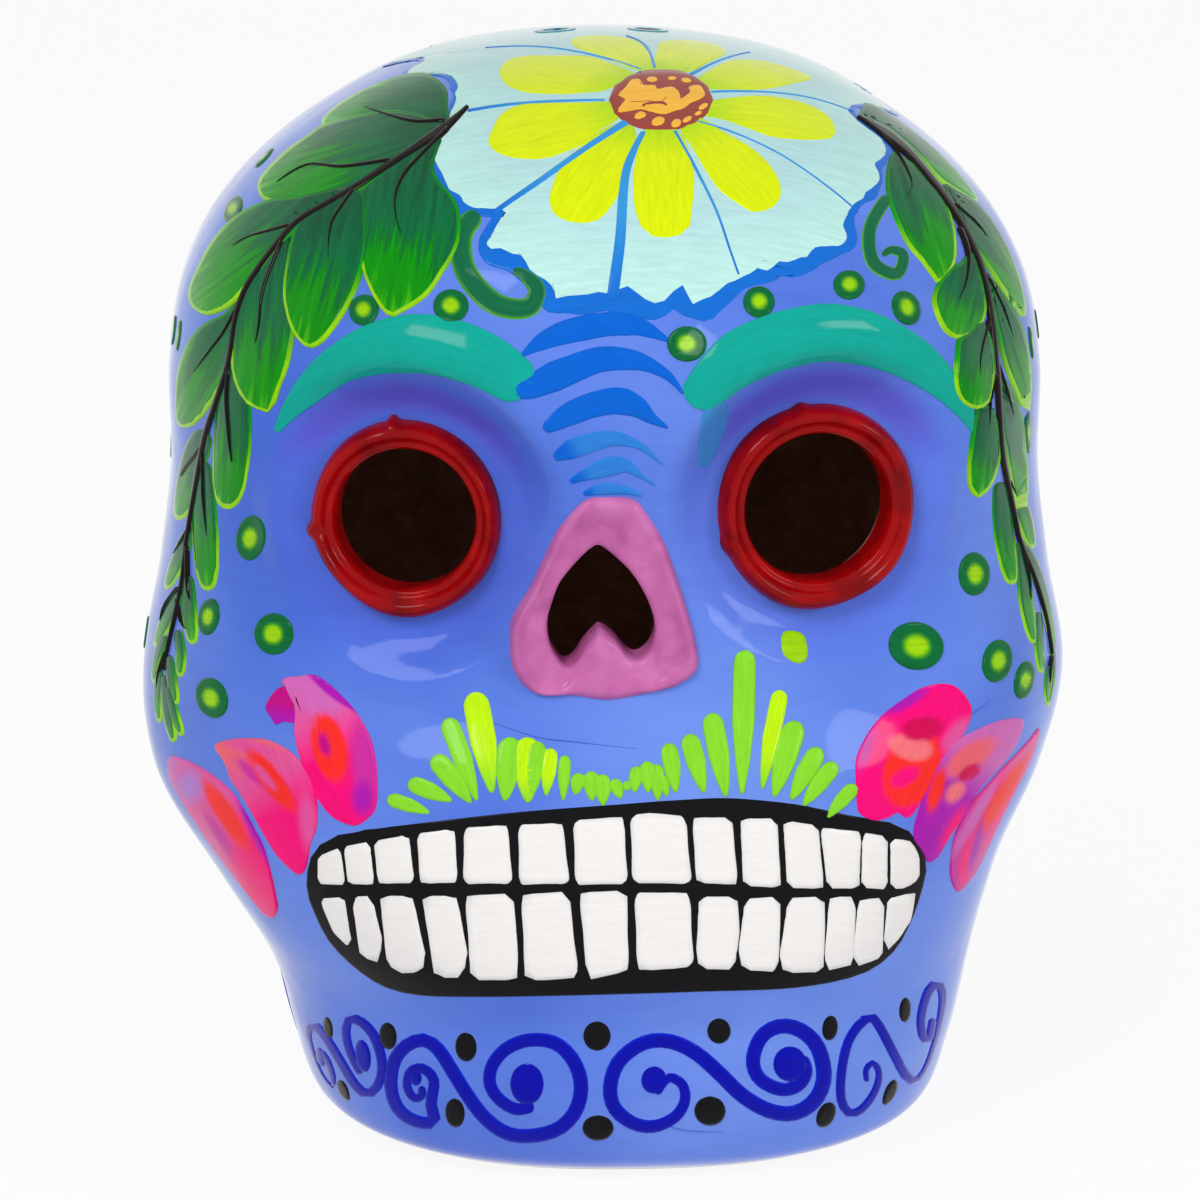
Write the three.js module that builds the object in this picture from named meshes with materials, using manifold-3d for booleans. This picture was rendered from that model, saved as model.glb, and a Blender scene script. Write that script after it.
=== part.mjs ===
// A hollow clay skull for the Day of the Dead, made the way a potter makes it: a face half and a
// back half pressed in moulds and joined at a seam, a coil of clay smoothed along the inside of
// that seam, and rolled clay pressed on round the eyes and the nose.
// Millimetres, +Z up. The skull stands on its open foot and the face looks along -Y, so the
// skull's own left side is +X. The pieces are made with the seam on the plane y = 0, and the
// finished skull is centred over the origin.
import * as THREE from "three";
import { mergeVertices } from "three/addons/utils/BufferGeometryUtils.js";
import Module from "manifold-3d";

// Driving sizes of the moulded form
const skullHeight = 114;
const cheekHalfWidth = 49;
const faceReach = 46.5; // from the seam forwards to the brow
const backReach = 66; // from the seam back to the back of the head
const wall = 4.6; // pressed clay
const slipGap = 0.3; // layer of liquid clay between two joined pieces
const cutOverrun = 6; // how far a cutting tool runs past what it cuts

// Stations from the foot to the crown, as shares of the driving sizes
const heightShares = [
  0, 0.025, 0.085, 0.165, 0.25, 0.335, 0.42, 0.515, 0.61, 0.705, 0.79, 0.865, 0.93, 0.98, 1,
];
const widthShares = [
  0.6, 0.685, 0.73, 0.775, 0.845, 0.95, 1, 0.965, 0.938, 0.938, 0.9, 0.795, 0.615, 0.375, 0,
];
const faceShares = [
  0.74, 0.86, 0.94, 0.975, 0.99, 0.985, 0.965, 0.955, 0.97, 1, 0.98, 0.885, 0.695, 0.41, 0,
];
const backShares = [
  0.45, 0.54, 0.62, 0.71, 0.8, 0.88, 0.945, 0.985, 1, 0.975, 0.905, 0.79, 0.61, 0.36, 0,
];

// Power of the half sections, as a share of an ellipse's power of 2: more is squarer
const faceSquareShare = 1.225;
const backSquareShare = 1.05;

// Unevenness of a form pressed by hand
const jawShift = 1.8; // the jaw sits this much towards the skull's left
const jawShiftLow = 12; // height below which the whole shift holds, and above which it fades
const jawShiftHigh = 44;
const fullCheek = 2.8; // the right cheek is this much fuller than the left
const fullCheekHeight = 32;
const fullCheekReach = 19; // above and below its middle

// Eyes: a shallow round basin, a hole through the wall and a rolled ring round the hole
const eyeHeight = 70.3;
const eyeDrop = 0.5; // the right eye sits this much lower and the left one higher
const eyeHalfSpacing = 21;
const eyeShift = 0.9; // both eyes sit this much towards the skull's right
const eyeTurnDegrees = 11; // how far each eye looks outwards
const eyeHoleRadius = 7.2;
const eyeLip = 0.3; // how far the ring covers the hole's edge
const ringWidth = 3.2;
const ringHeight = 2.4;
const basinFloorRadius = 11.2;
const basinRimRadius = 17;
const basinDepth = 2.8;
const browRadius = 19; // from the eye to the top of the brow's ridge
const browHalfWidth = 7;
const browLift = 2;
const browInner = 10; // from the face's middle to where the ridge has its full lift
const browStartShare = -0.3; // of the way from an eye's middle up to its top, where it starts
const browFullShare = 0.6; // and where the ridge has its full lift
const facingShare = 1 / 3; // of the face's reach, over which its features fade out by the seam

// The section of a rolled ring, flat below, with its crest near the outside and a hollow slope to
// the hole. Each point is a share of the ring's width out from the hole, and of its height.
const ringShares = [
  [0, 0], [1, 0], [1.06, 0.3], [0.98, 0.7], [0.78, 0.97], [0.58, 0.98],
  [0.42, 0.72], [0.22, 0.5], [0.04, 0.42], [-0.04, 0.22], [0, 0],
];

// Nose: a rolled frame, wide at its foot, set in a shallow pocket round a heart-shaped hole
const noseHeight = 63.8; // height of the frame's middle
const noseFrameHeight = 20;
const noseFrameWidth = 18.2;
const noseTopWidth = 8;
const noseCorner = 3.4;
const noseThickness = 3.4;
const noseEdge = 0.8; // rounding of the frame's edges
const nosePocket = 1; // depth of the pocket
const nostrilHeight = 11;
const nostrilWidth = 10.2;
const nostrilDrop = 0.6; // how far the hole sits below the frame's middle
const heartHipShare = 0.3; // of its height, from its foot to its widest place
const heartNotchShare = 0.24;
const heartFootShare = 0.6; // of its half width, out to the lowest place of each lobe
const heartShoulderShare = 0.55;

// Mouth: a low swelling across the face that carries the painted teeth
const mouthHeight = 34.5;
const mouthHalfWidth = 33;
const mouthHalfHeight = 13.5;
const mouthLift = 2.4;
const mouthEdgeShare = 0.32; // of its half sizes, over which the swelling fades out

// Cheekbones, one a little lower than the other as pressed by hand
const cheekHeight = 51;
const cheekDrop = 2.4; // the right cheekbone below the left one
const cheekPlace = 36;
const cheekRadius = 13;
const cheekLift = 1.6;

// Small holes through the crown, just behind the seam
const ventRadius = 1.2;
const ventSpacing = 9.8;
const ventBehind = 3;

// Coil along the inside of the seam
const coilWidth = 9;
const coilThickness = 3.2;
const coilFoot = 4; // how far its ends stay above the foot

// How finely each form is divided round and from crown to foot
const outerGrid = { columns: 112, rows: 50 };
const backGrid = { columns: 56, rows: 26 };
const innerGrid = { columns: 48, rows: 20 };
const ringSides = 36;
const holeSides = 30;
const ventSides = 10;
const curveSteps = 5;
const edgeSteps = 2; // round the nose frame's edges
const halvings = 40; // when a place on the form is looked for
const mergeGap = 1e-4; // points of a mesh closer than this are one

const wasm = await Module();
wasm.setup();

// A closed three.js geometry as a solid
function toSolid(geometry) {
  const bare = geometry.index ? geometry.toNonIndexed() : geometry.clone();
  for (const name of Object.keys(bare.attributes)) {
    if (name !== "position") bare.deleteAttribute(name);
  }
  const merged = mergeVertices(bare, mergeGap);
  const mesh = new wasm.Mesh({
    numProp: 3,
    vertProperties: merged.attributes.position.array,
    triVerts: new Uint32Array(merged.index.array),
  });
  return new wasm.Manifold(mesh);
}

// A solid as a three.js geometry
function toGeometry(solid) {
  const mesh = solid.getMesh();
  const geometry = new THREE.BufferGeometry();
  geometry.setAttribute("position", new THREE.BufferAttribute(mesh.vertProperties, mesh.numProp));
  geometry.setIndex(new THREE.BufferAttribute(mesh.triVerts, 1));
  geometry.computeVertexNormals();
  return geometry;
}

// 1 where the value is below low, 0 above high, smooth between
function fade(value, low, high) {
  return 1 - THREE.MathUtils.smoothstep(value, low, high);
}

// One outline of the form, from the foot to the crown: how far it reaches out at each height,
// that much inside the skin. A mirrored point past the crown makes it arrive there level.
function outline(reach, shares, depth) {
  const points = shares.map((share, i) => {
    const out = Math.max(share * reach - depth, share * (reach - depth) * (1 - share));
    return new THREE.Vector2(share > 0 ? out : 0, heightShares[i] * (skullHeight - depth));
  });
  const last = points[points.length - 2];
  points.push(new THREE.Vector2(-last.x, last.y));
  const curve = new THREE.SplineCurve(points);
  const end = (points.length - 2) / (points.length - 1);
  return (t) => curve.getPoint(THREE.MathUtils.clamp(t, 0, 1) * end);
}

// The moulded form without its features. t runs from 0 at the foot to 1 at the crown, and turn
// is the angle round the skull: 0 at its right side, a quarter turn at the middle of the face
// and a half turn at its left side.
function plainForm(depth) {
  const side = outline(cheekHalfWidth, widthShares, depth);
  const face = outline(faceReach, faceShares, depth);
  const back = outline(backReach, backShares, depth);
  return (turn, t) => {
    const across = -Math.cos(turn);
    const along = -Math.sin(turn);
    const height = side(t).y;
    const fuller = fullCheek * fade(Math.abs(height - fullCheekHeight), 0, fullCheekReach);
    const width = Math.max(side(t).x + (across < 0 ? fuller : 0), Number.EPSILON);
    const reach = Math.max((along < 0 ? face : back)(t).x, Number.EPSILON);
    const power = 2 * (along < 0 ? faceSquareShare : backSquareShare);
    const sum = Math.abs(across / width) ** power + Math.abs(along / reach) ** power;
    const radius = sum ** (-1 / power);
    const shift = jawShift * fade(height, jawShiftLow, jawShiftHigh);
    return new THREE.Vector3(across * radius + shift, along * radius, height);
  };
}

// Where a rising function of 0 to 1 reaches a value, by halving
function solve(rising, value) {
  let low = 0;
  let high = 1;
  for (let i = 0; i < halvings; i++) {
    const middle = (low + high) / 2;
    if (rising(middle) < value) low = middle;
    else high = middle;
  }
  return low;
}

// The point of the plain form at a place on the face
function facePoint(x, z) {
  const form = plainForm(0);
  const t = solve((share) => form(Math.PI / 2, share).z, z);
  const turn = solve((share) => form(Math.PI * share, t).x, x);
  return form(Math.PI * turn, t);
}

// Each eye's own place: the middle of its basin's floor, and the way it looks
const eyes = [-1, 1].map((side) => {
  const turn = side * THREE.MathUtils.degToRad(eyeTurnDegrees);
  const axis = new THREE.Vector3(Math.sin(turn), -Math.cos(turn), 0);
  const surface = facePoint(side * eyeHalfSpacing - eyeShift, eyeHeight + side * eyeDrop);
  return { turn, axis, middle: surface.addScaledVector(axis, -basinDepth) };
});

// The nose's place on the face, and how the face leans there
const noseMiddle = facePoint(0, noseHeight);
const noseLean = (() => {
  const top = facePoint(0, noseHeight + noseFrameHeight / 2);
  const foot = facePoint(0, noseHeight - noseFrameHeight / 2);
  return Math.atan2(top.y - foot.y, top.z - foot.z);
})();

// How far the mouth's swelling and the cheekbones stand out at a point of the plain form
function swelling(point) {
  const bandX = point.x / mouthHalfWidth;
  const bandZ = (point.z - mouthHeight) / mouthHalfHeight;
  const band = Math.sqrt(Math.hypot(bandX ** 2, bandZ ** 2));
  let lift = mouthLift * fade(band, 1 - mouthEdgeShare, 1 + mouthEdgeShare);
  for (const side of [-1, 1]) {
    const height = cheekHeight + (side * cheekDrop) / 2;
    const away = Math.hypot(point.x - side * cheekPlace, point.z - height);
    lift += cheekLift * fade(away, 0, cheekRadius);
  }
  return lift;
}

// Moves a point of the face into an eye's basin or out onto its brow
function shapeEye(point, eye, depth, facing) {
  const arm = point.clone().sub(eye.middle);
  const above = arm.dot(eye.axis);
  const flat = arm.addScaledVector(eye.axis, -above);
  const away = flat.length();
  const raised = flat.z / Math.max(away, Number.EPSILON);
  const upper = THREE.MathUtils.smoothstep(raised, browStartShare, browFullShare);
  const ridge = facing * THREE.MathUtils.smoothstep(Math.abs(point.x), 0, browInner);
  const brow = browLift * upper * ridge * fade(Math.abs(away - browRadius), 0, browHalfWidth);
  const floor = fade(away, basinFloorRadius, basinRimRadius);
  const height = THREE.MathUtils.lerp(above + brow, -depth, floor);
  point.addScaledVector(eye.axis, height - above);
}

// Puts the moulded features on a point of the plain form
function shapeFeatures(point, depth) {
  if (point.y > 0) return;
  const facing = THREE.MathUtils.smoothstep(-point.y, 0, faceReach * facingShare);
  const outward = new THREE.Vector3(point.x, point.y, 0).normalize();
  point.addScaledVector(outward, swelling(point) * facing);
  for (const eye of eyes) shapeEye(point, eye, depth, facing);
}

// The form as a closed solid, that much inside the skin, closed below by a flat at footHeight
function formSolid(depth, grid, footHeight) {
  const form = plainForm(depth);
  const ball = new THREE.SphereGeometry(1, grid.columns, grid.rows);
  const place = ball.attributes.position;
  for (let i = 0; i < place.count; i++) {
    const column = (i % (grid.columns + 1)) % grid.columns;
    const row = Math.floor(i / (grid.columns + 1));
    const t = 1 - Math.min(row / (grid.rows - 1), 1);
    const point = form((column / grid.columns) * Math.PI * 2, t);
    shapeFeatures(point, depth);
    if (row >= grid.rows - 1) point.z = footHeight;
    if (row === grid.rows) point.set(0, 0, footHeight);
    place.setXYZ(i, point.x, point.y, point.z);
  }
  return toSolid(ball);
}

// A box between two corners
function boxSolid(low, high) {
  const size = high.clone().sub(low);
  const middle = low.clone().add(high).divideScalar(2);
  const box = new THREE.BoxGeometry(size.x, size.y, size.z);
  return toSolid(box.translate(middle.x, middle.y, middle.z));
}

// A box that holds the skull's width and all of it above foot, from one y to another
function sliceSolid(back, front, foot) {
  const far = cheekHalfWidth + fullCheek + cutOverrun;
  const low = new THREE.Vector3(-far, Math.min(back, front), foot);
  return boxSolid(low, new THREE.Vector3(far, Math.max(back, front), skullHeight + cutOverrun));
}

// Places a geometry made along +Y at an eye, so that +Y becomes the way the eye looks
function placeAtEye(geometry, eye) {
  geometry.rotateX(Math.PI).rotateZ(eye.turn);
  return geometry.translate(eye.middle.x, eye.middle.y, eye.middle.z);
}

// Places a geometry made in the XY plane at the nose, so that +Z points out of the face
function placeAtNose(geometry) {
  geometry.rotateX(Math.PI / 2 - noseLean);
  return geometry.translate(noseMiddle.x, noseMiddle.y, noseMiddle.z);
}

// The nose frame's outline, grown all round by a margin
function noseOutline(margin) {
  const top = noseFrameHeight / 2 + margin;
  const topHalf = noseTopWidth / 2 + margin;
  const footHalf = noseFrameWidth / 2 + margin;
  const corner = noseCorner + margin;
  const slope = new THREE.Vector2(topHalf - footHalf, top * 2 - corner).setLength(corner);
  const shape = new THREE.Shape();
  shape.moveTo(corner - footHalf, -top);
  shape.lineTo(footHalf - corner, -top);
  shape.quadraticCurveTo(footHalf, -top, footHalf, corner - top);
  shape.lineTo(topHalf - slope.x, top - slope.y);
  shape.quadraticCurveTo(topHalf, top, 0, top);
  shape.quadraticCurveTo(-topHalf, top, slope.x - topHalf, top - slope.y);
  shape.lineTo(-footHalf, corner - top);
  shape.quadraticCurveTo(-footHalf, -top, corner - footHalf, -top);
  return shape;
}

// The heart-shaped hole, point up, grown all round by a margin
function nostrilOutline(margin) {
  const half = nostrilWidth / 2 + margin;
  const top = nostrilHeight / 2 - nostrilDrop + margin;
  const foot = -nostrilHeight / 2 - nostrilDrop - margin;
  const hip = foot + nostrilHeight * heartHipShare;
  const notch = foot + nostrilHeight * heartNotchShare;
  const lobe = half * heartFootShare;
  const shoulder = half * heartShoulderShare;
  const path = new THREE.Shape();
  path.moveTo(0, top);
  path.bezierCurveTo(-shoulder, top, -half, hip + half, -half, hip);
  path.quadraticCurveTo(-half, foot, -lobe, foot);
  path.lineTo(0, notch);
  path.lineTo(lobe, foot);
  path.quadraticCurveTo(half, foot, half, hip);
  path.bezierCurveTo(half, hip + half, shoulder, top, 0, top);
  return path;
}

// A flat outline drawn out from one height over the face to another, as a solid at the nose
function noseTool(shape, low, high) {
  const options = { depth: high - low, bevelEnabled: false, curveSegments: curveSteps };
  return toSolid(placeAtNose(new THREE.ExtrudeGeometry(shape, options).translate(0, 0, low)));
}

// A round hole through the wall at an eye
function eyeTool(eye) {
  const length = wall + cutOverrun * 2;
  const tool = new THREE.CylinderGeometry(eyeHoleRadius, eyeHoleRadius, length, holeSides);
  return toSolid(placeAtEye(tool.translate(0, -wall / 2, 0), eye));
}

// The two small holes down through the crown
function ventTools() {
  const length = (wall + coilThickness) * 2 + cutOverrun;
  return [-1, 1].map((side) => {
    const tool = new THREE.CylinderGeometry(ventRadius, ventRadius, length, ventSides);
    tool.rotateX(Math.PI / 2).translate((side * ventSpacing) / 2, ventBehind, skullHeight);
    return toSolid(tool);
  });
}

// The face half, open at the eyes and the nose, with a pocket for the nose frame
function makeFaceShell() {
  let shell = formSolid(0, outerGrid, 0).subtract(formSolid(wall, innerGrid, -cutOverrun));
  shell = shell.intersect(sliceSolid(-faceReach * 2, -slipGap / 2, 0));
  for (const eye of eyes) shell = shell.subtract(eyeTool(eye));
  const through = wall + cutOverrun;
  shell = shell.subtract(noseTool(nostrilOutline(slipGap), -through, through));
  return shell.subtract(noseTool(noseOutline(slipGap), -nosePocket, through));
}

// The back half, with the two small holes near its front edge
function makeBackShell() {
  let shell = formSolid(0, backGrid, 0).subtract(formSolid(wall, innerGrid, -cutOverrun));
  shell = shell.intersect(sliceSolid(slipGap / 2, backReach * 2, 0));
  for (const tool of ventTools()) shell = shell.subtract(tool);
  return shell;
}

// The arch of clay inside the seam, from the foot up over the crown and down again
function makeSeamCoil() {
  const skin = wall + slipGap;
  const arch = formSolid(skin, innerGrid, 0);
  let coil = arch.subtract(formSolid(skin + coilThickness, innerGrid, -cutOverrun));
  coil = coil.intersect(sliceSolid(-coilWidth / 2, coilWidth / 2, coilFoot));
  for (const tool of ventTools()) coil = coil.subtract(tool);
  return coil;
}

// The ring of clay pressed on round an eye's hole
function makeEyeRing(eye) {
  const hole = eyeHoleRadius - eyeLip;
  const profile = ringShares.map(([out, up]) => {
    return new THREE.Vector2(hole + out * ringWidth, slipGap + up * ringHeight);
  });
  return toSolid(placeAtEye(new THREE.LatheGeometry(profile, ringSides), eye));
}

// The nose frame, with rounded front edges and a flat back
function makeNoseRim() {
  const shape = noseOutline(0);
  shape.holes.push(nostrilOutline(0));
  const rim = new THREE.ExtrudeGeometry(shape, {
    depth: noseThickness,
    bevelThickness: noseEdge,
    bevelSize: noseEdge,
    bevelOffset: -noseEdge,
    bevelSegments: edgeSteps,
    curveSegments: curveSteps,
  });
  const seat = slipGap - nosePocket;
  rim.translate(0, 0, seat - noseEdge);
  const room = noseTool(noseOutline(slipGap), seat, seat + noseThickness);
  return toSolid(placeAtNose(rim)).intersect(room);
}

const skull = new THREE.Group();
const centred = new THREE.Group();
centred.add(skull);

// Adds one finished piece under its own name
function addPiece(name, solid, colour, roughness) {
  const material = new THREE.MeshStandardMaterial({ color: colour, roughness, metalness: 0 });
  const mesh = new THREE.Mesh(toGeometry(solid), material);
  mesh.name = name;
  skull.add(mesh);
}

addPiece("face_shell", makeFaceShell(), "#6d8ce6", 0.12);
addPiece("back_shell", makeBackShell(), "#6d8ce6", 0.12);
addPiece("inner_seam_coil", makeSeamCoil(), "#7d4a32", 0.9);
addPiece("right_eye_ring", makeEyeRing(eyes[0]), "#971717", 0.1);
addPiece("left_eye_ring", makeEyeRing(eyes[1]), "#971717", 0.1);
addPiece("nose_rim", makeNoseRim(), "#d388c0", 0.1);

const bounds = new THREE.Box3().setFromObject(skull);
const middle = bounds.getCenter(new THREE.Vector3());
skull.position.set(-middle.x, -middle.y, 0);

export default centred;
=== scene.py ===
import bpy, bmesh, math
import numpy as np
from mathutils import Matrix, Vector
from mathutils.bvhtree import BVHTree
from mathutils.kdtree import KDTree


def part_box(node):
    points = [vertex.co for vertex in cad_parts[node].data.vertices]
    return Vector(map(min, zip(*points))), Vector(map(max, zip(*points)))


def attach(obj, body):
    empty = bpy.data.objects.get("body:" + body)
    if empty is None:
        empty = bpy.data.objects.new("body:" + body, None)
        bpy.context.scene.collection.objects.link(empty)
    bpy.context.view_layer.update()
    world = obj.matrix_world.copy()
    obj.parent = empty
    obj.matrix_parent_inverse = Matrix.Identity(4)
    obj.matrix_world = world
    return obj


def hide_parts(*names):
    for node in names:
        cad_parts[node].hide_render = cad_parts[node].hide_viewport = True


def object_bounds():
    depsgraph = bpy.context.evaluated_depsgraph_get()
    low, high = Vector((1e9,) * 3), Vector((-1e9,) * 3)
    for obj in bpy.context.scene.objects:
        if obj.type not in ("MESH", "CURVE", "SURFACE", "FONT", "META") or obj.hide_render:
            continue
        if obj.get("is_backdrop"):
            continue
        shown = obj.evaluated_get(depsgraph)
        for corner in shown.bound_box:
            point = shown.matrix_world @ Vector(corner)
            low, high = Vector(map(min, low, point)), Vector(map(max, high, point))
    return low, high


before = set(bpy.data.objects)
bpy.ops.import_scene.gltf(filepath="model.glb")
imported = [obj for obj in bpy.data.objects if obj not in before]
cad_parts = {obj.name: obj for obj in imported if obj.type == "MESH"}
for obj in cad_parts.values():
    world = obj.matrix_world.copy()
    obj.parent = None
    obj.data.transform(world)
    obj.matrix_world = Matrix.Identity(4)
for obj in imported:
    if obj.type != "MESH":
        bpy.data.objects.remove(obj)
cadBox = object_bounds()
millimetre = 0.001

# The form of the skull: the same stations and sizes as its frame, in millimetres, with the seam on
# the plane y = 0. formOffset then takes everything to the frame's place.
form = {
    "height": 114.0,
    "cheekHalfWidth": 49.0,
    "faceReach": 46.5,
    "backReach": 66.0,
    "wall": 4.6,
    "heightShares": [0, 0.025, 0.085, 0.165, 0.25, 0.335, 0.42, 0.515, 0.61, 0.705, 0.79, 0.865, 0.93,
        0.98, 1],
    "widthShares": [0.6, 0.685, 0.73, 0.775, 0.845, 0.95, 1, 0.965, 0.938, 0.938, 0.9, 0.795, 0.615,
        0.375, 0],
    "faceShares": [0.74, 0.86, 0.94, 0.975, 0.99, 0.985, 0.965, 0.955, 0.97, 1, 0.98, 0.885, 0.695, 0.41, 0],
    "backShares": [0.45, 0.54, 0.62, 0.71, 0.8, 0.88, 0.945, 0.985, 1, 0.975, 0.905, 0.79, 0.61, 0.36, 0],
    "facePower": 2.45,
    "backPower": 2.1,
    "jawShift": 1.8, "jawShiftLow": 12.0, "jawShiftHigh": 44.0,
    "fullCheek": 2.8, "fullCheekHeight": 32.0, "fullCheekReach": 19.0,
}
eye = {
    "height": 70.3, "drop": 0.5, "halfSpacing": 21.0, "shift": 0.9, "turnDegrees": 11.0,
    "floorRadius": 11.2, "rimRadius": 17.0, "depth": 2.8,
    "browRadius": 19.0, "browHalfWidth": 7.0, "browLift": 2.0, "browInner": 10.0,
    "browTurn": (-0.3, 0.6),
}
mouthForm = {"height": 34.5, "halfWidth": 33.0, "halfHeight": 13.5, "lift": 2.4, "edge": 0.32}
cheek = {"height": 51.0, "drop": 2.4, "place": 36.0, "radius": 13.0, "lift": 1.6}
nose = {"height": 63.8, "frameHeight": 20.0}
vent = {"radius": 1.2, "spacing": 9.8, "behind": 3.0}

ringBoxes = [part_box("left_eye_ring"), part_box("right_eye_ring")]
seamY = (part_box("face_shell")[1].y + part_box("back_shell")[0].y) / 2
ringsX = sum(low.x + high.x for low, high in ringBoxes) / 4
formOffset = np.array([ringsX / millimetre + eye["shift"], seamY / millimetre, 0.0])


def smoothStep(value, low, high):
    share = np.clip((value - low) / (high - low), 0, 1)
    return share * share * (3 - 2 * share)


def splineThrough(values, place):  # uniform Catmull-Rom, place counts in stations
    values = np.asarray(values, float)
    last = len(values) - 1
    start = np.clip(np.floor(place).astype(int), 0, last - 1)
    t = place - start
    if values.ndim > 1:
        t = t[:, None]
    before, here = values[np.maximum(start - 1, 0)], values[start]
    there, after = values[np.minimum(start + 1, last)], values[np.minimum(start + 2, last)]
    leave, arrive = (there - before) / 2, (after - here) / 2
    return ((2 * here - 2 * there + leave + arrive) * t**3
            + (3 * there - 3 * here - 2 * leave - arrive) * t**2 + leave * t + here)


def between(where, run, rows):  # the rows of a path, or of colours, at other places along it
    return np.stack([np.interp(where, run, values) for values in rows.T], -1)


def unitRows(rows):
    return rows / np.maximum(np.linalg.norm(rows, axis=-1, keepdims=True), 1e-9)


def column(values):
    return np.asarray(values)[..., None]


# The form of the head

def outline(reach, shares, depth, t):
    shares = np.array(shares, float)
    out = np.maximum(shares * reach - depth, shares * (reach - depth) * (1 - shares))
    out[-1] = 0
    return splineThrough(np.append(out, -out[-2]), t * (len(shares) - 1))


def heightAt(depth, t):
    tall = form["height"] - depth
    stations = np.array(form["heightShares"], float) * tall
    return splineThrough(np.append(stations, stations[-2]), t * (len(stations) - 1))


def plainForm(depth, turn, t):
    t = np.clip(t, 0, 1)
    across, along = -np.cos(turn), -np.sin(turn)
    z = heightAt(depth, t)
    fuller = 1 - smoothStep(np.abs(z - form["fullCheekHeight"]), 0, form["fullCheekReach"])
    width, face, back = (outline(form[size], form[shares], depth, t) for size, shares in (
        ("cheekHalfWidth", "widthShares"), ("faceReach", "faceShares"), ("backReach", "backShares")))
    width = width + np.where(across < 0, form["fullCheek"] * fuller, 0)
    reach = np.maximum(np.where(along < 0, face, back), 1e-9)
    power = np.where(along < 0, form["facePower"], form["backPower"])
    share = np.abs(across / np.maximum(width, 1e-9)) ** power + np.abs(along / reach) ** power
    radius = share ** (-1 / power)
    shift = form["jawShift"] * (1 - smoothStep(z, form["jawShiftLow"], form["jawShiftHigh"]))
    return np.stack([across * radius + shift, along * radius, z], -1)


def solveRising(function, value):
    low, high = 0.0, 1.0
    for _ in range(40):
        middle = (low + high) / 2
        low, high = (middle, high) if function(middle) < value else (low, middle)
    return low


def facePoint(x, z):
    t = solveRising(lambda share: float(heightAt(0, np.array(share))), z)
    turn = solveRising(lambda share: float(plainForm(0, np.array(math.pi * share), np.array(t))[0]), x)
    return plainForm(0, np.array(math.pi * turn), np.array(t))


def makeEye(side):
    turn = side * math.radians(eye["turnDegrees"])
    axis = np.array([math.sin(turn), -math.cos(turn), 0.0])
    surface = facePoint(side * eye["halfSpacing"] - eye["shift"], eye["height"] + side * eye["drop"])
    return {"side": side, "turn": turn, "axis": axis, "middle": surface - axis * eye["depth"]}


eyes = [makeEye(-1), makeEye(1)]
noseMiddle = facePoint(0, nose["height"])
noseTop = facePoint(0, nose["height"] + nose["frameHeight"] / 2)
noseFoot = facePoint(0, nose["height"] - nose["frameHeight"] / 2)
noseLean = math.atan2(noseTop[1] - noseFoot[1], noseTop[2] - noseFoot[2])
waist = np.array([0, 0, form["height"] / 2])


def skinPoint(turn, t, depth=0.0):
    p = plainForm(depth, turn, t)
    x, y, z = p[..., 0], p[..., 1], p[..., 2]
    facing = smoothStep(-y, 0, form["faceReach"] / 3)
    bandX, bandZ = x / mouthForm["halfWidth"], (z - mouthForm["height"]) / mouthForm["halfHeight"]
    band = (bandX**4 + bandZ**4) ** 0.25
    lift = mouthForm["lift"] * (1 - smoothStep(band, 1 - mouthForm["edge"], 1 + mouthForm["edge"]))
    for side in (-1, 1):
        away = np.hypot(x - side * cheek["place"], z - cheek["height"] - side * cheek["drop"] / 2)
        lift = lift + cheek["lift"] * (1 - smoothStep(away, 0, cheek["radius"]))
    p = p + unitRows(p * [1, 1, 0]) * column(lift * facing)
    for one in eyes:
        arm = p - one["middle"]
        above = arm @ one["axis"]
        arm = arm - column(above) * one["axis"]
        away = np.linalg.norm(arm, axis=-1)
        upper = smoothStep(arm[..., 2] / np.maximum(away, 1e-9), *eye["browTurn"])
        ridge = facing * smoothStep(np.abs(p[..., 0]), 0, eye["browInner"])
        ridge = ridge * (1 - smoothStep(np.abs(away - eye["browRadius"]), 0, eye["browHalfWidth"]))
        floor = (1 - smoothStep(away, eye["floorRadius"], eye["rimRadius"])) * (p[..., 1] < 0)
        height = (above + eye["browLift"] * upper * ridge) * (1 - floor) - depth * floor
        p = p + column(height - above) * one["axis"]
    return p


def toFrame(points):  # millimetres of the form to metres of the frame
    return (np.asarray(points) + formOffset) * millimetre


# Camera

camera = {
    "azimuth": -2.5, "elevation": 12.0, "distance": 600.0, "target": (-0.3, 0.0, 52.9),
    "millimetresPerPixel": 0.1075, "pixels": 1200, "sensor": 36.0, "clip": (0.01, 20),
}


def viewAxes(azimuth, elevation):  # ahead, to the right and up, for someone who looks from there
    a, e = math.radians(azimuth), math.radians(elevation)
    ahead = np.array([-math.sin(a) * math.cos(e), math.cos(a) * math.cos(e), -math.sin(e)])
    across = np.array([math.cos(a), math.sin(a), 0.0])
    return ahead, across, np.cross(across, ahead)


forward, right, up = viewAxes(camera["azimuth"], camera["elevation"])
cameraPlace = np.array(camera["target"]) - forward * camera["distance"]
focalPixels = camera["distance"] / camera["millimetresPerPixel"]


def makeCamera():
    data = bpy.data.cameras.new("camera")
    data.sensor_width = camera["sensor"]
    data.lens = focalPixels / camera["pixels"] * camera["sensor"]
    data.clip_start, data.clip_end = camera["clip"]
    viewer = bpy.data.objects.new("camera", data)
    bpy.context.collection.objects.link(viewer)
    viewer.location = toFrame(cameraPlace)
    viewer.rotation_euler = Vector(forward).to_track_quat("-Z", "Y").to_euler()
    bpy.context.scene.camera = viewer


makeCamera()
print("camera ready")


# Node helpers

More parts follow.
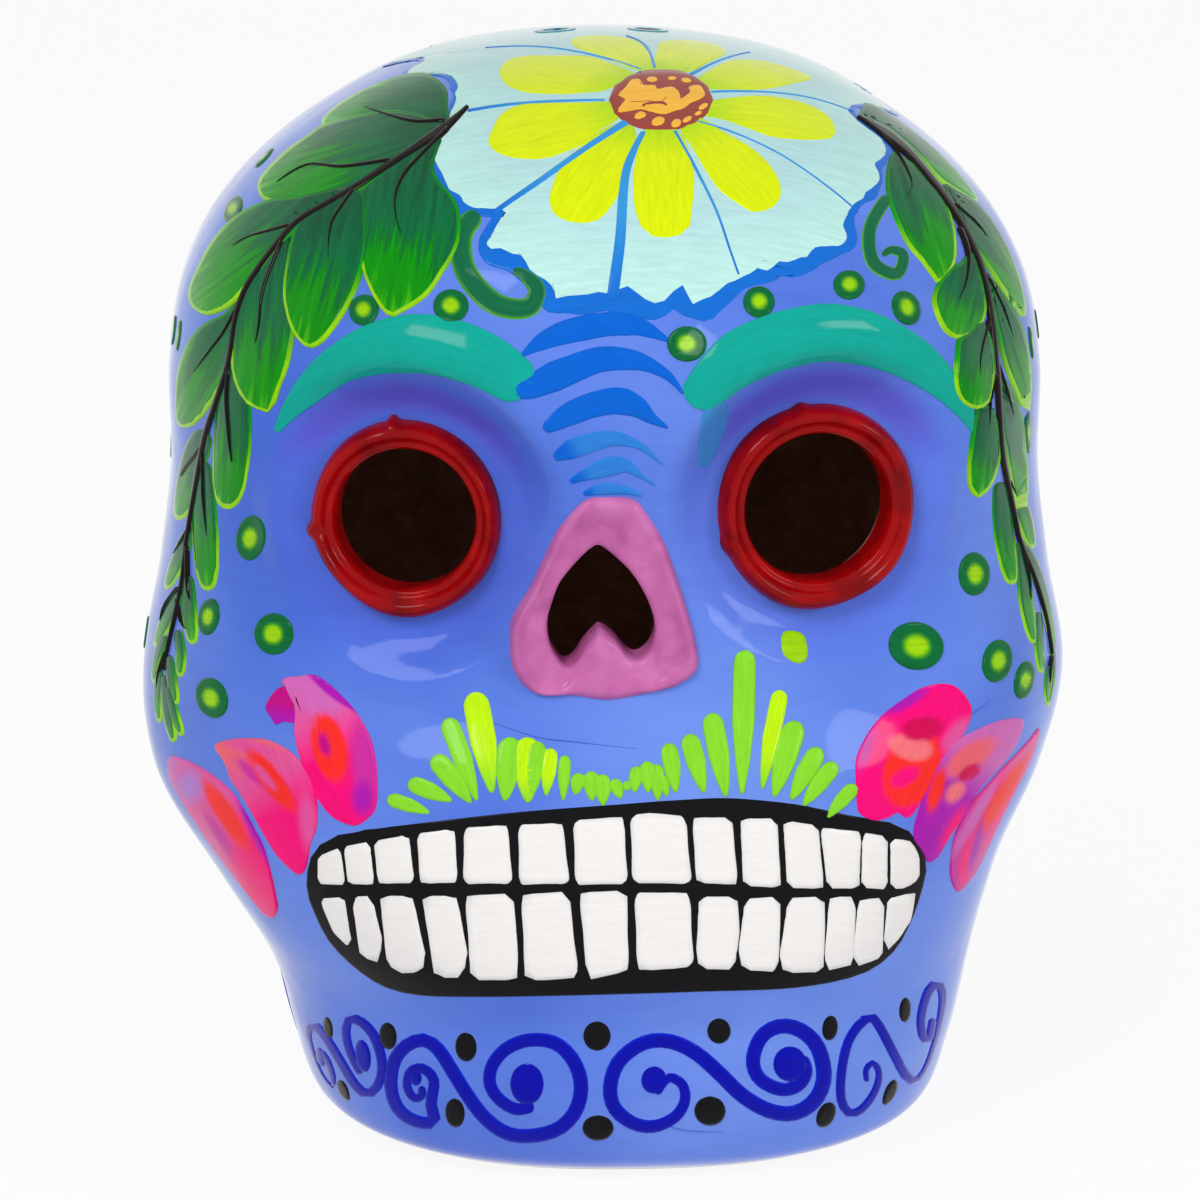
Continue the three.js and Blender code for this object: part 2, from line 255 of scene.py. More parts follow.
def newMaterial(name):
    material = bpy.data.materials.new(name)
    material.use_nodes = True
    return material, material.node_tree, material.node_tree.nodes["Principled BSDF"]


def put(tree, socket, value):  # links another node's output, or sets a value
    if hasattr(value, "is_output"):
        tree.links.new(value, socket)
    else:
        socket.default_value = value


def addNode(tree, kind, *values, **settings):  # values fill the sockets in order
    node = tree.nodes.new(kind)
    for key, value in settings.items():
        if key in node.inputs:
            put(tree, node.inputs[key], value)
        else:
            setattr(node, key, value)
    for socket, value in zip(node.inputs, values):
        put(tree, socket, value)
    return node


def mathOn(tree, operation, *values):
    return addNode(tree, "ShaderNodeMath", *values, operation=operation).outputs[0]


def placeOn(tree):
    return tree.nodes.new("ShaderNodeTexCoord").outputs["Object"]


def noiseOn(tree, vector, scale, detail=3.0, roughness=0.5, distortion=0.0):
    settings = {"Scale": scale, "Detail": detail, "Roughness": roughness, "Distortion": distortion}
    return addNode(tree, "ShaderNodeTexNoise", vector, **settings).outputs["Fac"]


def streaksOn(tree, vector, scale, detail, roughness, distortion):  # noise, drawn out along an axis
    stretched = addNode(tree, "ShaderNodeMapping", vector, Scale=scale).outputs["Vector"]
    return noiseOn(tree, stretched, 1, detail, roughness, distortion)


def rampOn(tree, factor, stops):
    node = addNode(tree, "ShaderNodeValToRGB", factor)
    ramp = node.color_ramp
    while len(ramp.elements) < len(stops):
        ramp.elements.new(0.5)
    for element, (place, value) in zip(ramp.elements, stops):
        element.position, element.color = place, value
    return node.outputs["Color"]


def mixOn(tree, factor, first, second, blend="MIX"):
    node = addNode(tree, "ShaderNodeMix", data_type="RGBA", blend_type=blend)
    for index, value in ((0, factor), (6, first), (7, second)):
        put(tree, node.inputs[index], value)
    return node.outputs[2]


def rangeOn(tree, value, low, high, toLow=0.0, toHigh=1.0):
    ends = {"From Min": low, "From Max": high, "To Min": toLow, "To Max": toHigh, "Value": value}
    return addNode(tree, "ShaderNodeMapRange", interpolation_type="SMOOTHSTEP", **ends).outputs["Result"]


def bumpsOn(tree, bumps):  # each bump: height, strength, distance
    normal = None
    for height, strength, distance in bumps:
        node = addNode(tree, "ShaderNodeBump", Height=height, Strength=strength, Distance=distance)
        if normal is not None:
            put(tree, node.inputs["Normal"], normal)
        normal = node.outputs["Normal"]
    return normal


def colour(red, green, blue):  # screen values of 0 to 255 to a linear colour
    screen = [value / 255 for value in (red, green, blue)]
    return (*[c / 12.92 if c <= 0.04045 else ((c + 0.055) / 1.055) ** 2.4 for c in screen], 1.0)


def grey(value):
    return (value, value, value, 1)


# Materials

varnish = {"Coat Weight": 1.0, "Coat Roughness": 0.07, "Coat IOR": 1.19, "Specular IOR Level": 0.0}
swell = {"noise": (60, 2), "bump": (0.3, 0.0012)}  # the slow waves of thick varnish


def bumpOf(tree, place, form):
    return (noiseOn(tree, place, *form["noise"]), *form["bump"])


def glaze(tree, shader, base, bumps, roughness):  # paint under a coat of varnish
    normal = bumpsOn(tree, bumps)
    sockets = {"Base Color": base, "Normal": normal, "Coat Normal": normal, "Roughness": roughness, **varnish}
    for name, value in sockets.items():
        put(tree, shader.inputs[name], value)


shellPaint = {
    "blues": [(0.35, colour(72, 110, 216)), (0.5, colour(100, 135, 231)), (0.68, colour(120, 154, 240))],
    # socket: a darker blue in the socket hollows, partly the paint's own and partly painted shade; the violet
    # band above each ring is painted shade under the brow
    "socket": colour(84, 106, 222), "socketShadeRange": (0.0105, 0.0185, 0.55, 0.0),
    "underBrowShade": colour(94, 84, 206), "underBrowShadeInner": (0.0102, 0.0118), "underBrowShadeOuter": (0.0128, 0.0158, 0.8, 0.0),
    "underBrowShadeLow": 0.003, "underBrowShadeHigh": 0.010,
    "patches": (16, 3, 0.5, 0.3), "streaks": ((60, 60, 420), 3, 0.6, 1.2),
    "shades": [(0.3, (0.95, 0.95, 0.97, 1)), (0.7, (1.03, 1.03, 1.02, 1))],
    "grain": {"noise": (700, 3, 0.6), "bump": (0.04, 0.0002)}, "roughness": 0.5,
}
clay = {
    "browns": [(0.25, colour(166, 126, 104)), (0.55, colour(200, 158, 132)), (0.8, colour(220, 182, 156))],
    "grain": (260, 6, 0.65), "pits": {"noise": (900, 4, 0.7), "bump": (0.5, 0.0004)}, "roughness": 0.85,
}


def makeShellMaterial():
    material, tree, shader = newMaterial("periwinklePaint")
    place = placeOn(tree)
    high = addNode(tree, "ShaderNodeSeparateXYZ", place).outputs["Z"]
    base = rampOn(tree, noiseOn(tree, place, *shellPaint["patches"]), shellPaint["blues"])
    for one in eyes:  # a darker blue in each socket, partly the paint's own and partly painted shade in the hollow, and a violet band of painted shade under the brow, over the ring
        middle = toFrame(one["middle"])
        away = addNode(tree, "ShaderNodeVectorMath", place, middle, operation="DISTANCE").outputs["Value"]
        base = mixOn(tree, rangeOn(tree, away, *shellPaint["socketShadeRange"]), base, shellPaint["socket"])
        inner, outer = (rangeOn(tree, away, *shellPaint[key]) for key in ("underBrowShadeInner", "underBrowShadeOuter"))
        upper = rangeOn(tree, high, middle[2] + shellPaint["underBrowShadeLow"], middle[2] + shellPaint["underBrowShadeHigh"])
        ring = mathOn(tree, "MULTIPLY", upper, mathOn(tree, "MULTIPLY", inner, outer))
        base = mixOn(tree, ring, base, shellPaint["underBrowShade"])
    streaks = rampOn(tree, streaksOn(tree, place, *shellPaint["streaks"]), shellPaint["shades"])
    base = mixOn(tree, 1.0, base, streaks, "MULTIPLY")
    bumps = [bumpOf(tree, place, swell), bumpOf(tree, place, shellPaint["grain"])]
    glaze(tree, shader, base, bumps, shellPaint["roughness"])
    return material


def makeClayMaterial():
    material, tree, shader = newMaterial("rawClay")
    place = placeOn(tree)
    base = rampOn(tree, noiseOn(tree, place, *clay["grain"]), clay["browns"])
    normal = bumpsOn(tree, [bumpOf(tree, place, clay["pits"])])
    for name, value in (("Base Color", base), ("Normal", normal), ("Roughness", clay["roughness"])):
        put(tree, shader.inputs[name], value)
    return material


clays = [makeShellMaterial(), makeClayMaterial()]  # painted outside, raw inside
print("clay and base paint ready")


# Meshes

def readAll(items, field, size, kind=float):
    values = np.empty(len(items) * size, kind)
    items.foreach_get(field, values)
    return values.reshape(-1, size)


def meshPoints(mesh):
    return readAll(mesh.vertices, "co", 3)


def setMeshPoints(mesh, points):
    mesh.vertices.foreach_set("co", np.ascontiguousarray(points, float).ravel())
    mesh.update()


def objectFrom(bm, name, materials):
    mesh = bpy.data.meshes.new(name)
    bm.to_mesh(mesh)
    bm.free()
    for material in materials:
        mesh.materials.append(material)
    piece = bpy.data.objects.new(name, mesh)
    bpy.context.collection.objects.link(piece)
    return piece


def shapeTo(piece, points, materialIndex=0):  # takes points of the form
    setMeshPoints(piece.data, toFrame(points))
    indices = np.full(len(piece.data.polygons), materialIndex, np.int32)
    piece.data.polygons.foreach_set("material_index", indices)
    return piece


def formBall(name, depth, detail, footHeight=0, materialIndex=0):
    columns, rows, cuts = detail
    bm = bmesh.new()
    bmesh.ops.create_uvsphere(bm, u_segments=columns, v_segments=rows, radius=1)
    bmesh.ops.subdivide_edges(bm, edges=bm.edges[:], cuts=cuts, use_grid_fill=True)
    bmesh.ops.triangulate(bm, faces=bm.faces[:])
    ball = objectFrom(bm, name, clays)
    unit = meshPoints(ball.data)
    unit /= np.linalg.norm(unit, axis=1, keepdims=True)
    rows *= cuts + 1
    row = np.arccos(np.clip(unit[:, 2], -1, 1)) / math.pi * rows
    t = 1 - np.minimum(row / (rows - 1), 1)
    points = skinPoint(np.arctan2(-unit[:, 1], -unit[:, 0]), t, depth)
    points[row > rows - 1.01, 2] = footHeight  # the last rows close the foot, flat
    points[row > rows - 0.01, :2] = 0
    return shapeTo(ball, points, materialIndex)


def solidBox(name, low, high):
    bm = bmesh.new()
    bmesh.ops.create_cube(bm, size=1)
    box = objectFrom(bm, name, clays)
    low, high = np.array(low, float), np.array(high, float)
    return shapeTo(box, (low + high) / 2 + meshPoints(box.data) * (high - low), 1)


def roundTool(name, radius, middle, axis, low, high, sides=64):
    bm = bmesh.new()
    bmesh.ops.create_cone(bm, cap_ends=True, segments=sides, radius1=radius, radius2=radius, depth=1)
    tool = objectFrom(bm, name, clays)
    local = meshPoints(tool.data)
    local[:, 2] = low + (local[:, 2] + 0.5) * (high - low)
    turned = np.array([Vector(axis).to_track_quat("Z", "Y") @ Vector(p) for p in local])
    return shapeTo(tool, turned + middle, 1)


def cutWith(piece, tool, operation="DIFFERENCE"):
    cut = piece.modifiers.new("cut", "BOOLEAN")
    cut.object, cut.operation, cut.solver = tool, operation, "MANIFOLD"
    cut.material_mode = "INDEX"
    depsgraph = bpy.context.evaluated_depsgraph_get()
    mesh = bpy.data.meshes.new_from_object(piece.evaluated_get(depsgraph))
    piece.modifiers.clear()
    piece.data = mesh
    bpy.data.objects.remove(tool)


def fixNormals(piece):
    bm = bmesh.new()
    bm.from_mesh(piece.data)
    bmesh.ops.recalc_face_normals(bm, faces=bm.faces[:])
    bm.to_mesh(piece.data)
    bm.free()


def finishSmooth(piece, degrees):
    mesh = piece.data
    mesh.polygons.foreach_set("use_smooth", np.ones(len(mesh.polygons), bool))
    mesh.set_sharp_from_angle(angle=math.radians(degrees))
    mesh.update()


def keepPiece(piece, slot, *nodes):
    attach(piece, "root")
    if nodes:
        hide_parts(*nodes)
    return piece


# Canvases: ways of looking at the skull, whose rays carry a flat mark onto it

canvases = {
    "crown": viewAxes(0, 62), "brows": viewAxes(0, 8), "back": viewAxes(180, 22),
    "rightFront": viewAxes(-52, 22), "leftFront": viewAxes(52, 22),
}
roundRadius = 45.0  # the round canvas is wrapped about the waist
outside = {"round": 200, "flat": 300}  # how far off rays start, past the skin


def rays(canvas, xy):
    xy = np.asarray(xy, float)
    if canvas == "photo":
        spot = (xy - camera["pixels"] / 2) / focalPixels
        directions = forward + spot[:, :1] * right - spot[:, 1:] * up
        return np.tile(cameraPlace, (len(xy), 1)), unitRows(directions)
    if canvas == "round":  # millimetres round the waist from the middle of the face, and millimetres up
        turn = xy[:, 0] / roundRadius
        outward = np.stack([np.sin(turn), -np.cos(turn), np.zeros(len(turn))], -1)
        return outward * outside["round"] + xy[:, 1:] * [0, 0, 1], -outward
    ahead, across, above = canvases[canvas]
    origins = waist + xy[:, :1] * across + xy[:, 1:] * above - ahead * outside["flat"]
    return origins, np.tile(ahead, (len(xy), 1))


def onto(canvas, points):  # points of the form, as seen on a flat canvas
    _, across, above = canvases[canvas]
    arm = np.asarray(points) - waist
    return np.stack([arm @ across, arm @ above], -1)


def fromPhoto(canvas, pixels):  # places in the photograph, as seen on a flat canvas
    return onto(canvas, castOnSkin(*rays("photo", keepInside(pixels)))[0])


# Paths and rings

def runAlong(points):
    return np.concatenate([[0], np.cumsum(np.linalg.norm(np.diff(points, axis=0), axis=1))])


def closedUp(points):
    return np.vstack([points, points[:1]])


def evenly(points, count):  # a closed ring of that many points, evenly spaced from its first
    closed = closedUp(points)
    run = runAlong(closed)
    return between(np.linspace(0, run[-1], count, endpoint=False), run, closed)


def smoothPath(points, count, closed=False):  # a path evenly divided, and its length
    points = np.array(points, float)
    first, last = 0, len(points) - 1
    if closed:
        points = np.vstack([points[-1:], points, points[:2]])
        first, last = 1, len(points) - 2
    fine = splineThrough(points, np.linspace(first, last, count * 4 + 1))
    run = runAlong(fine)
    return between(np.linspace(0, run[-1], count + 1), run, fine), run[-1]


def smoothRing(points, count):
    return smoothPath(points, count, True)[0][:-1]


def offsetRing(ring, distance):  # a ring moved outwards; distance may be one number or one for each point
    ring = np.asarray(ring, float)
    after = np.roll(ring, -1, axis=0)
    ahead = unitRows(after - np.roll(ring, 1, axis=0))
    turn = np.sign((ring[:, 0] * after[:, 1] - after[:, 0] * ring[:, 1]).sum())
    aside = np.stack([ahead[:, 1], -ahead[:, 0]], -1) * turn
    return ring + aside * column(np.broadcast_to(distance, len(ring)))


def ringTurns(ring, middle):  # a closed ring and its turns about a place, rising
    ring = closedUp(ring)
    angles = np.unwrap(np.arctan2(ring[:, 1] - middle[1], ring[:, 0] - middle[0]))
    return (ring, angles) if angles[-1] >= angles[0] else (ring[::-1], angles[::-1])


def ringAt(ring, angle, middle):
    ring, angles = ringTurns(ring, middle)
    return between(angles[0] + np.mod(angle - angles[0], 2 * math.pi), angles, ring)


heart = {"count": 160, "low": 0.15, "high": 0.85, "tries": 22, "pull": 0.8}


def heartOf(ring):  # near the place in a ring round which its edge turns most evenly
    path = smoothPath(ring, heart["count"], True)[0]
    low, high = path.min(0), path.max(0)
    best, mean = 0, path.mean(0)
    found = mean
    shares = np.linspace(heart["low"], heart["high"], heart["tries"])
    for across in shares:
        for above in shares:
            middle = low + (high - low) * (across, above)
            angles = np.unwrap(np.arctan2(path[:, 1] - middle[1], path[:, 0] - middle[0]))
            turn = angles[-1] - angles[0]
            least = (np.diff(angles) * np.sign(turn)).min() if abs(turn) > 6 else 0
            if least > best:
                best, found = least, middle
    return tuple(mean + heart["pull"] * (found - mean))


def wander(angle, seed, rough=3):  # a gentle uneven wave round a ring, between about -1 and 1
    waves = [math.sin(seed * 7.3 * k) * np.cos(k * angle) + math.cos(seed * 4.1 * k) * np.sin(k * angle)
             for k in range(2, rough + 2)]
    return sum(waves) / rough


def ragged(count, seed, waves):  # uneven steps round a ring, between about -1 and 1
    turn = np.linspace(0, 2 * math.pi, count, endpoint=False)
    steps = [np.sin(wave * turn + seed * wave) * np.cos(wave * 0.37 * turn + seed) for wave in waves]
    return sum(steps) / len(waves) * 1.6


def raggedRing(ring, settings, low=0):  # low is 1 where the ring's low edge has its own offset and unevenness
    offset, lowOffset, uneven, lowUneven, seed, waves = settings
    steps = ragged(len(ring), seed, waves)
    return offsetRing(ring, offset + lowOffset * low + (uneven + lowUneven * low) * steps)


# The nose: its plane, and the outlines of its heart-shaped hole and frame

noseTrim = {
    "pinks": [colour(180, 90, 153), colour(198, 106, 168), colour(208, 122, 182)],
    "frame": [(584, 497), (608, 495), (634, 498), (648, 515), (663, 541), (675, 574), (686, 608), (695, 642),
        (697, 668), (678, 684), (650, 692), (608, 700), (572, 695), (536, 693), (515, 672), (511, 645),
        (514, 620), (531, 590), (547, 556), (562, 524)],
    "hole": [(600, 547), (616, 559), (632, 575), (645, 596), (653, 616), (655, 634), (649, 652), (637, 661),
        (626, 656), (616, 643), (601, 632), (594, 637), (585, 648), (575, 663), (565, 667), (555, 656),
        (549, 640), (548, 621), (553, 602), (559, 586), (565, 577), (578, 562), (591, 550)],
    # section from the outer foot over the frame into the hole: share of the way from hole to edge, height
    "section": [(1.02, -1.6), (1.02, -0.2), (0.965, 0.7), (0.88, 1.1), (0.77, 1.02), (0.58, 0.62),
        (0.34, 0.36), (0.12, 0.16), (0.02, -0.3), (0.0, -1.4), (0.01, -3.2), (0.03, -4.6), (0.12, -4.7),
        (0.2, -3.0), (0.5, -2.4)],
    "spine": 0.45, "spineWidth": 1.9, "middleUp": 0.6, "uneven": 0.05, "cut": 1.3,
}


def framePlace(local):  # points in the nose's plane, third number out of the face
    lean = math.pi / 2 - noseLean
    y = local[:, 1] * math.cos(lean) - local[:, 2] * math.sin(lean)
    z = local[:, 1] * math.sin(lean) + local[:, 2] * math.cos(lean)
    return np.stack([local[:, 0], y, z], -1) + noseMiddle


def onNosePlane(pixels):  # places in the photograph, on the plane of the nose
    origins, directions = rays("photo", pixels)
    normal, upward = (framePlace(np.array([axis]))[0] - noseMiddle for axis in ((0, 0, 1.0), (0, 1.0, 0)))
    reach = ((noseMiddle - origins) @ normal) / (directions @ normal)
    arm = origins + directions * reach[:, None] - noseMiddle
    return np.stack([arm[:, 0], arm @ upward], -1)


def noseRing(name, count):
    return smoothRing(onNosePlane(noseTrim[name]), count)


def prismTool(name, ring, low, high):
    bm = bmesh.new()
    face = bm.faces.new([bm.verts.new((x, y, low)) for x, y in ring])
    raised = bmesh.ops.extrude_face_region(bm, geom=[face])["geom"]
    for vert in [g for g in raised if isinstance(g, bmesh.types.BMVert)]:
        vert.co.z = high
    bmesh.ops.recalc_face_normals(bm, faces=bm.faces[:])
    tool = objectFrom(bm, name, clays)
    return shapeTo(tool, framePlace(meshPoints(tool.data)), 1)


# The two shells

shellDetail = {  # columns, rows and cuts of each ball, and how far the tools reach
    "outer": (110, 66, 3), "inner": (60, 32, 1), "innerFoot": -6, "far": 200,
    "eyeDrill": (-12, 8), "noseDrill": (-12, 10), "ventDrill": -20, "ventTop": 5,
}
ringTrim = {
    "reds": [colour(122, 4, 8), colour(152, 6, 10), colour(172, 10, 12)], "cut": 7.45,
    "outerPart": (7.4, 9.6),
    # section from the outer foot, over the crest, down the bevel into the hole and back under: radius, height
    "section": [(9.62, -0.7), (9.66, 0.3), (9.4, 1.3), (8.95, 1.95), (8.45, 2.1), (8.0, 1.7), (7.62, 1.25),
        (7.26, 1.2), (7.02, 0.9), (6.86, 0.2), (6.84, -1.2), (6.9, -2.8), (7.35, -2.9), (8.1, -1.4),
        (8.9, -1.1)],
    "narrow": 0.035, "grow": {1: 1.085, -1: 1.03}, "uneven": 0.2, "crestUneven": 0.14,
    "knobs": {1: [(100, 0.35, 7), (200, 0.3, 9)], -1: [(97, 0.6, 5), (188, 0.6, 7)]},
}


def ventPlace(across):
    return np.array([across * vent["spacing"] / 2, vent["behind"], form["height"]])


def ventTool(across, low=shellDetail["ventDrill"]):
    return roundTool("drill", vent["radius"], ventPlace(across), (0, 0, 1), low, shellDetail["ventTop"], 32)


def makeShell(name, node, side):
    shell = formBall(name, 0, shellDetail["outer"])
    cutWith(shell, formBall("hollow", form["wall"], shellDetail["inner"], shellDetail["innerFoot"], 1))
    far = shellDetail["far"]
    half = ((-far, -far, -far), (far, 0, far)) if side == "face" else ((-far, 0, -far), (far, far, far))
    cutWith(shell, solidBox("slice", *half), "INTERSECT")
    if side == "face":
        for one in eyes:
            radius = ringTrim["cut"] * ringTrim["grow"][one["side"]]
            cutWith(shell, roundTool("drill", radius, one["middle"], one["axis"], *shellDetail["eyeDrill"]))
        hole = offsetRing(noseRing("hole", 120), noseTrim["cut"])
        cutWith(shell, prismTool("drill", hole, *shellDetail["noseDrill"]))
    else:
        for across in (-1, 1):
            cutWith(shell, ventTool(across))
    finishSmooth(shell, 40)
    print(name, len(shell.data.vertices), "points")
    return keepPiece(shell, "glazed_shell", node)


faceShell = makeShell("faceShell", "face_shell", "face")
backShell = makeShell("backShell", "back_shell", "back")


# Raised trims: the red rings round the eyes and the pink frame of the nose, pressed on by hand

trimGlaze = {
    "patches": (240, 3, 0.5, 0.5), "stops": (0.3, 0.5, 0.72), "roughness": 0.45,
    "dents": {"noise": (110, 2), "bump": (0.22, 0.0012)},
    "grain": {"noise": (900, 2), "bump": (0.05, 0.0002)},
}


def makeTrimMaterial(name, colours):
    material, tree, shader = newMaterial(name)
    place = placeOn(tree)
    base = rampOn(tree, noiseOn(tree, place, *trimGlaze["patches"]), list(zip(trimGlaze["stops"], colours)))
    bumps = [bumpOf(tree, place, trimGlaze[key]) for key in ("dents", "grain")]
    glaze(tree, shader, base, bumps, trimGlaze["roughness"])
    return material


def trimRing(name, steps, sides):  # also gives each point's turn round the hole and round the section
    bm = bmesh.new()
    loop = bmesh.ops.create_circle(bm, segments=sides, radius=1)["verts"]
    bmesh.ops.rotate(bm, verts=loop, cent=(0, 0, 0), matrix=Matrix.Rotation(math.pi / 2, 3, "X"))
    bmesh.ops.translate(bm, verts=loop, vec=(3, 0, 0))
    bmesh.ops.spin(bm, geom=bm.verts[:] + bm.edges[:], cent=(0, 0, 0), axis=(0, 0, 1), angle=2 * math.pi,
                   steps=steps, use_merge=True)
    bmesh.ops.remove_doubles(bm, verts=bm.verts[:], dist=1e-5)
    bmesh.ops.recalc_face_normals(bm, faces=bm.faces[:])
    piece = objectFrom(bm, name, [])
    p = meshPoints(piece.data)
    around = np.arctan2(p[:, 2], np.hypot(p[:, 0], p[:, 1]) - 3)
    return piece, np.arctan2(p[:, 1], p[:, 0]), np.mod(around, 2 * math.pi)


def sectionAt(section, around):  # a closed section through the given points
    points = np.array(section, float)
    points = np.vstack([points[-1:], points, points[:2]])
    return splineThrough(points, 1 + around / (2 * math.pi) * (len(points) - 3))


def finishTrim(piece, points, material, slot, node):
    piece.data.materials.append(material)
    shapeTo(piece, points)
    fixNormals(piece)
    finishSmooth(piece, 180)
    return keepPiece(piece, slot, node)


def makeEyeRing(one, name, node, material):
    piece, angle, around = trimRing(name, 180, 48)
    section = sectionAt(ringTrim["section"], around)
    seed = 1.0 if one["side"] > 0 else 2.0
    outer = smoothStep(section[:, 0], *ringTrim["outerPart"])
    radius = section[:, 0] + outer * ringTrim["uneven"] * wander(angle, seed, 5)
    for place, size, wide in ringTrim["knobs"][one["side"]]:
        away = np.degrees(np.abs(np.angle(np.exp(1j * (angle - math.radians(place))))))
        radius = radius + outer * size * (1 - smoothStep(away, 0, wide))
    radius = radius * ringTrim["grow"][one["side"]]
    crest = np.maximum(section[:, 1], 0) * ringTrim["crestUneven"] * wander(angle, seed + 0.7, 4)
    height = section[:, 1] + crest
    across = np.array([math.cos(one["turn"]), math.sin(one["turn"]), 0.0])
    aside = np.cos(angle) * (1 - ringTrim["narrow"] * outer)
    spoke = column(aside) * across + column(np.sin(angle)) * [0, 0, 1]
    points = one["middle"] + column(radius) * spoke + column(height) * one["axis"]
    return finishTrim(piece, points, material, "red_ring", node)


def makeNoseRim(material):
    piece, angle, around = trimRing("noseFrame", 240, 40)
    section = sectionAt(noseTrim["section"], around)
    share, height = section[:, 0], section[:, 1]
    hole, edge = noseRing("hole", 200), noseRing("frame", 200)
    middle = np.array([hole[:, 0].mean(), hole[:, 1].mean() + noseTrim["middleUp"]])
    inner, outer = ringAt(hole, angle, middle), ringAt(edge, angle, middle)
    spot = inner + column(share) * (outer - inner)
    notch = np.exp(-((spot[:, 0] - middle[0]) / noseTrim["spineWidth"]) ** 2)
    for value, low, high in ((-spot[:, 1], 1.0, 5.0), (1 - share, 0.0, 0.5), (height, -0.6, 0.3)):
        notch = notch * smoothStep(value, low, high)
    uneven = np.clip(height, 0, 2) * noseTrim["uneven"] * wander(angle, 3.1, 5)
    points = framePlace(np.column_stack([spot, height + uneven + noseTrim["spine"] * notch]))
    return finishTrim(piece, points, material, "pink_rim", "nose_rim")


redGlaze = makeTrimMaterial("redGlaze", ringTrim["reds"])
makeEyeRing(eyes[0], "rightEyeRing", "right_eye_ring", redGlaze)
makeEyeRing(eyes[1], "leftEyeRing", "left_eye_ring", redGlaze)
makeNoseRim(makeTrimMaterial("pinkGlaze", noseTrim["pinks"]))
print("trims ready")


# Painting: each mark is a thin film of paint, laid from a canvas onto the skin

skinBall = formBall("skin", 0, shellDetail["outer"])
skinVerts = meshPoints(skinBall.data) / millimetre - formOffset
skinNormals = readAll(skinBall.data.vertex_normals, "vector", 3)
skinFaces = readAll(skinBall.data.polygons, "vertices", 3, np.int32)
skinTree = BVHTree.FromPolygons(skinVerts.tolist(), skinFaces.tolist(), all_triangles=True)
bpy.data.objects.remove(skinBall)


def castOnSkin(origins, directions):
    hits, faces = [], []
    for origin, direction in zip(origins.tolist(), directions.tolist()):
        place, _, face, _ = skinTree.ray_cast(origin, direction)
        if place is None:  # past the edge of the view: the nearest skin
            nearest = Vector(origin) + Vector(direction) * max(-Vector(origin).dot(Vector(direction)), 0)
            place, _, face, _ = skinTree.find_nearest(nearest)
        hits.append(place)
        faces.append(face)
    hits = np.array(hits)
    corners = skinFaces[np.array(faces)]
    a, b, c = (skinVerts[corners[:, i]] for i in range(3))
    ab, ac, ap = b - a, c - a, hits - a
    d00, d01, d11 = (ab * ab).sum(1), (ab * ac).sum(1), (ac * ac).sum(1)
    d20, d21 = (ap * ab).sum(1), (ap * ac).sum(1)
    scale = np.maximum(d00 * d11 - d01 * d01, 1e-12)
    second = np.clip((d11 * d20 - d01 * d21) / scale, 0, 1)
    third = np.clip((d00 * d21 - d01 * d20) / scale, 0, 1)
    weights = np.stack([1 - second - third, second, third], 1)
    normals = sum(weights[:, i:i + 1] * skinNormals[corners[:, i]] for i in range(3))
    normals /= np.linalg.norm(normals, axis=1, keepdims=True)
    lift = np.zeros_like(hits)  # from each flat facet to the smooth skin
    for i in range(3):
        vertex, normal = skinVerts[corners[:, i]], skinNormals[corners[:, i]]
        lift -= weights[:, i:i + 1] * (((hits - vertex) * normal).sum(1, keepdims=True) * normal)
    return hits + film["round"] * lift, normals


film = {
    "thick": 0.05, "sink": 0.04, "bury": 0.12, "layer": 0.035, "order": 0.003, "bevel": 0.16, "round": 0.75,
    "unit": 0.1, "pitch": 1.1, "fewest": 8, "most": 120, "longest": 180, "apart": 3.7,
}
limb = {"middle": np.array([605.0, 560.0]), "start": 0.955, "end": 0.99, "nearest": 250.0, "farthest": 800.0}
limbTurns = np.linspace(0, 2 * math.pi, 240, endpoint=False)


def findLimb():  # how far the skin reaches in the photograph from its middle, turn by turn
    low, high = (np.full(len(limbTurns), limb[key]) for key in ("nearest", "farthest"))
    outward = np.stack([np.cos(limbTurns), np.sin(limbTurns)], -1)
    for _ in range(14):
        middle = (low + high) / 2
        origins, directions = rays("photo", limb["middle"] + outward * middle[:, None])
        hit = [skinTree.ray_cast(a, b)[0] is not None for a, b in zip(origins.tolist(), directions.tolist())]
        low, high = np.where(hit, middle, low), np.where(hit, high, middle)
    return low


def keepInside(pixels):  # eases places near or past the skin's edge back inside it
    arm = np.asarray(pixels, float) - limb["middle"]
    reach = np.interp(np.arctan2(arm[:, 1], arm[:, 0]), limbTurns, limbReach, period=2 * math.pi)
    share = np.linalg.norm(arm, axis=1) / reach
    start, room = limb["start"], limb["end"] - limb["start"]
    eased = np.where(share > start, start + room * np.tanh((share - start) / room), share)
    return limb["middle"] + arm * (eased / np.maximum(share, 1e-9))[:, None]


limbReach = findLimb()


def crowd(share):  # spreads a grid so that its lines crowd at both edges
    return np.sin(share * math.pi / 2)


def spread(stops, share):  # (share, value) stops to a value at each share; values may be colours
    if not isinstance(stops, list):
        stops = [(0, stops)]
    values = np.array([value for _, value in stops], float)
    mixed = between(share, [place for place, _ in stops], values.reshape(len(stops), -1))
    return mixed[:, 0] if values.ndim == 1 else mixed


def taper(width, stops):
    return [(share, width * part) for share, part in stops]


def evenStops(values, low=0, high=1):
    return list(zip(np.linspace(low, high, len(values)), values))


def gridFor(pitch, lengths, most):
    counts = [math.ceil(length / step / 2) * 2 for length, step in zip(lengths, pitch)]
    return tuple(int(np.clip(count, film["fewest"], most)) for count in counts)


def unitOf(canvas):
    return film["unit"] if canvas == "photo" else 1


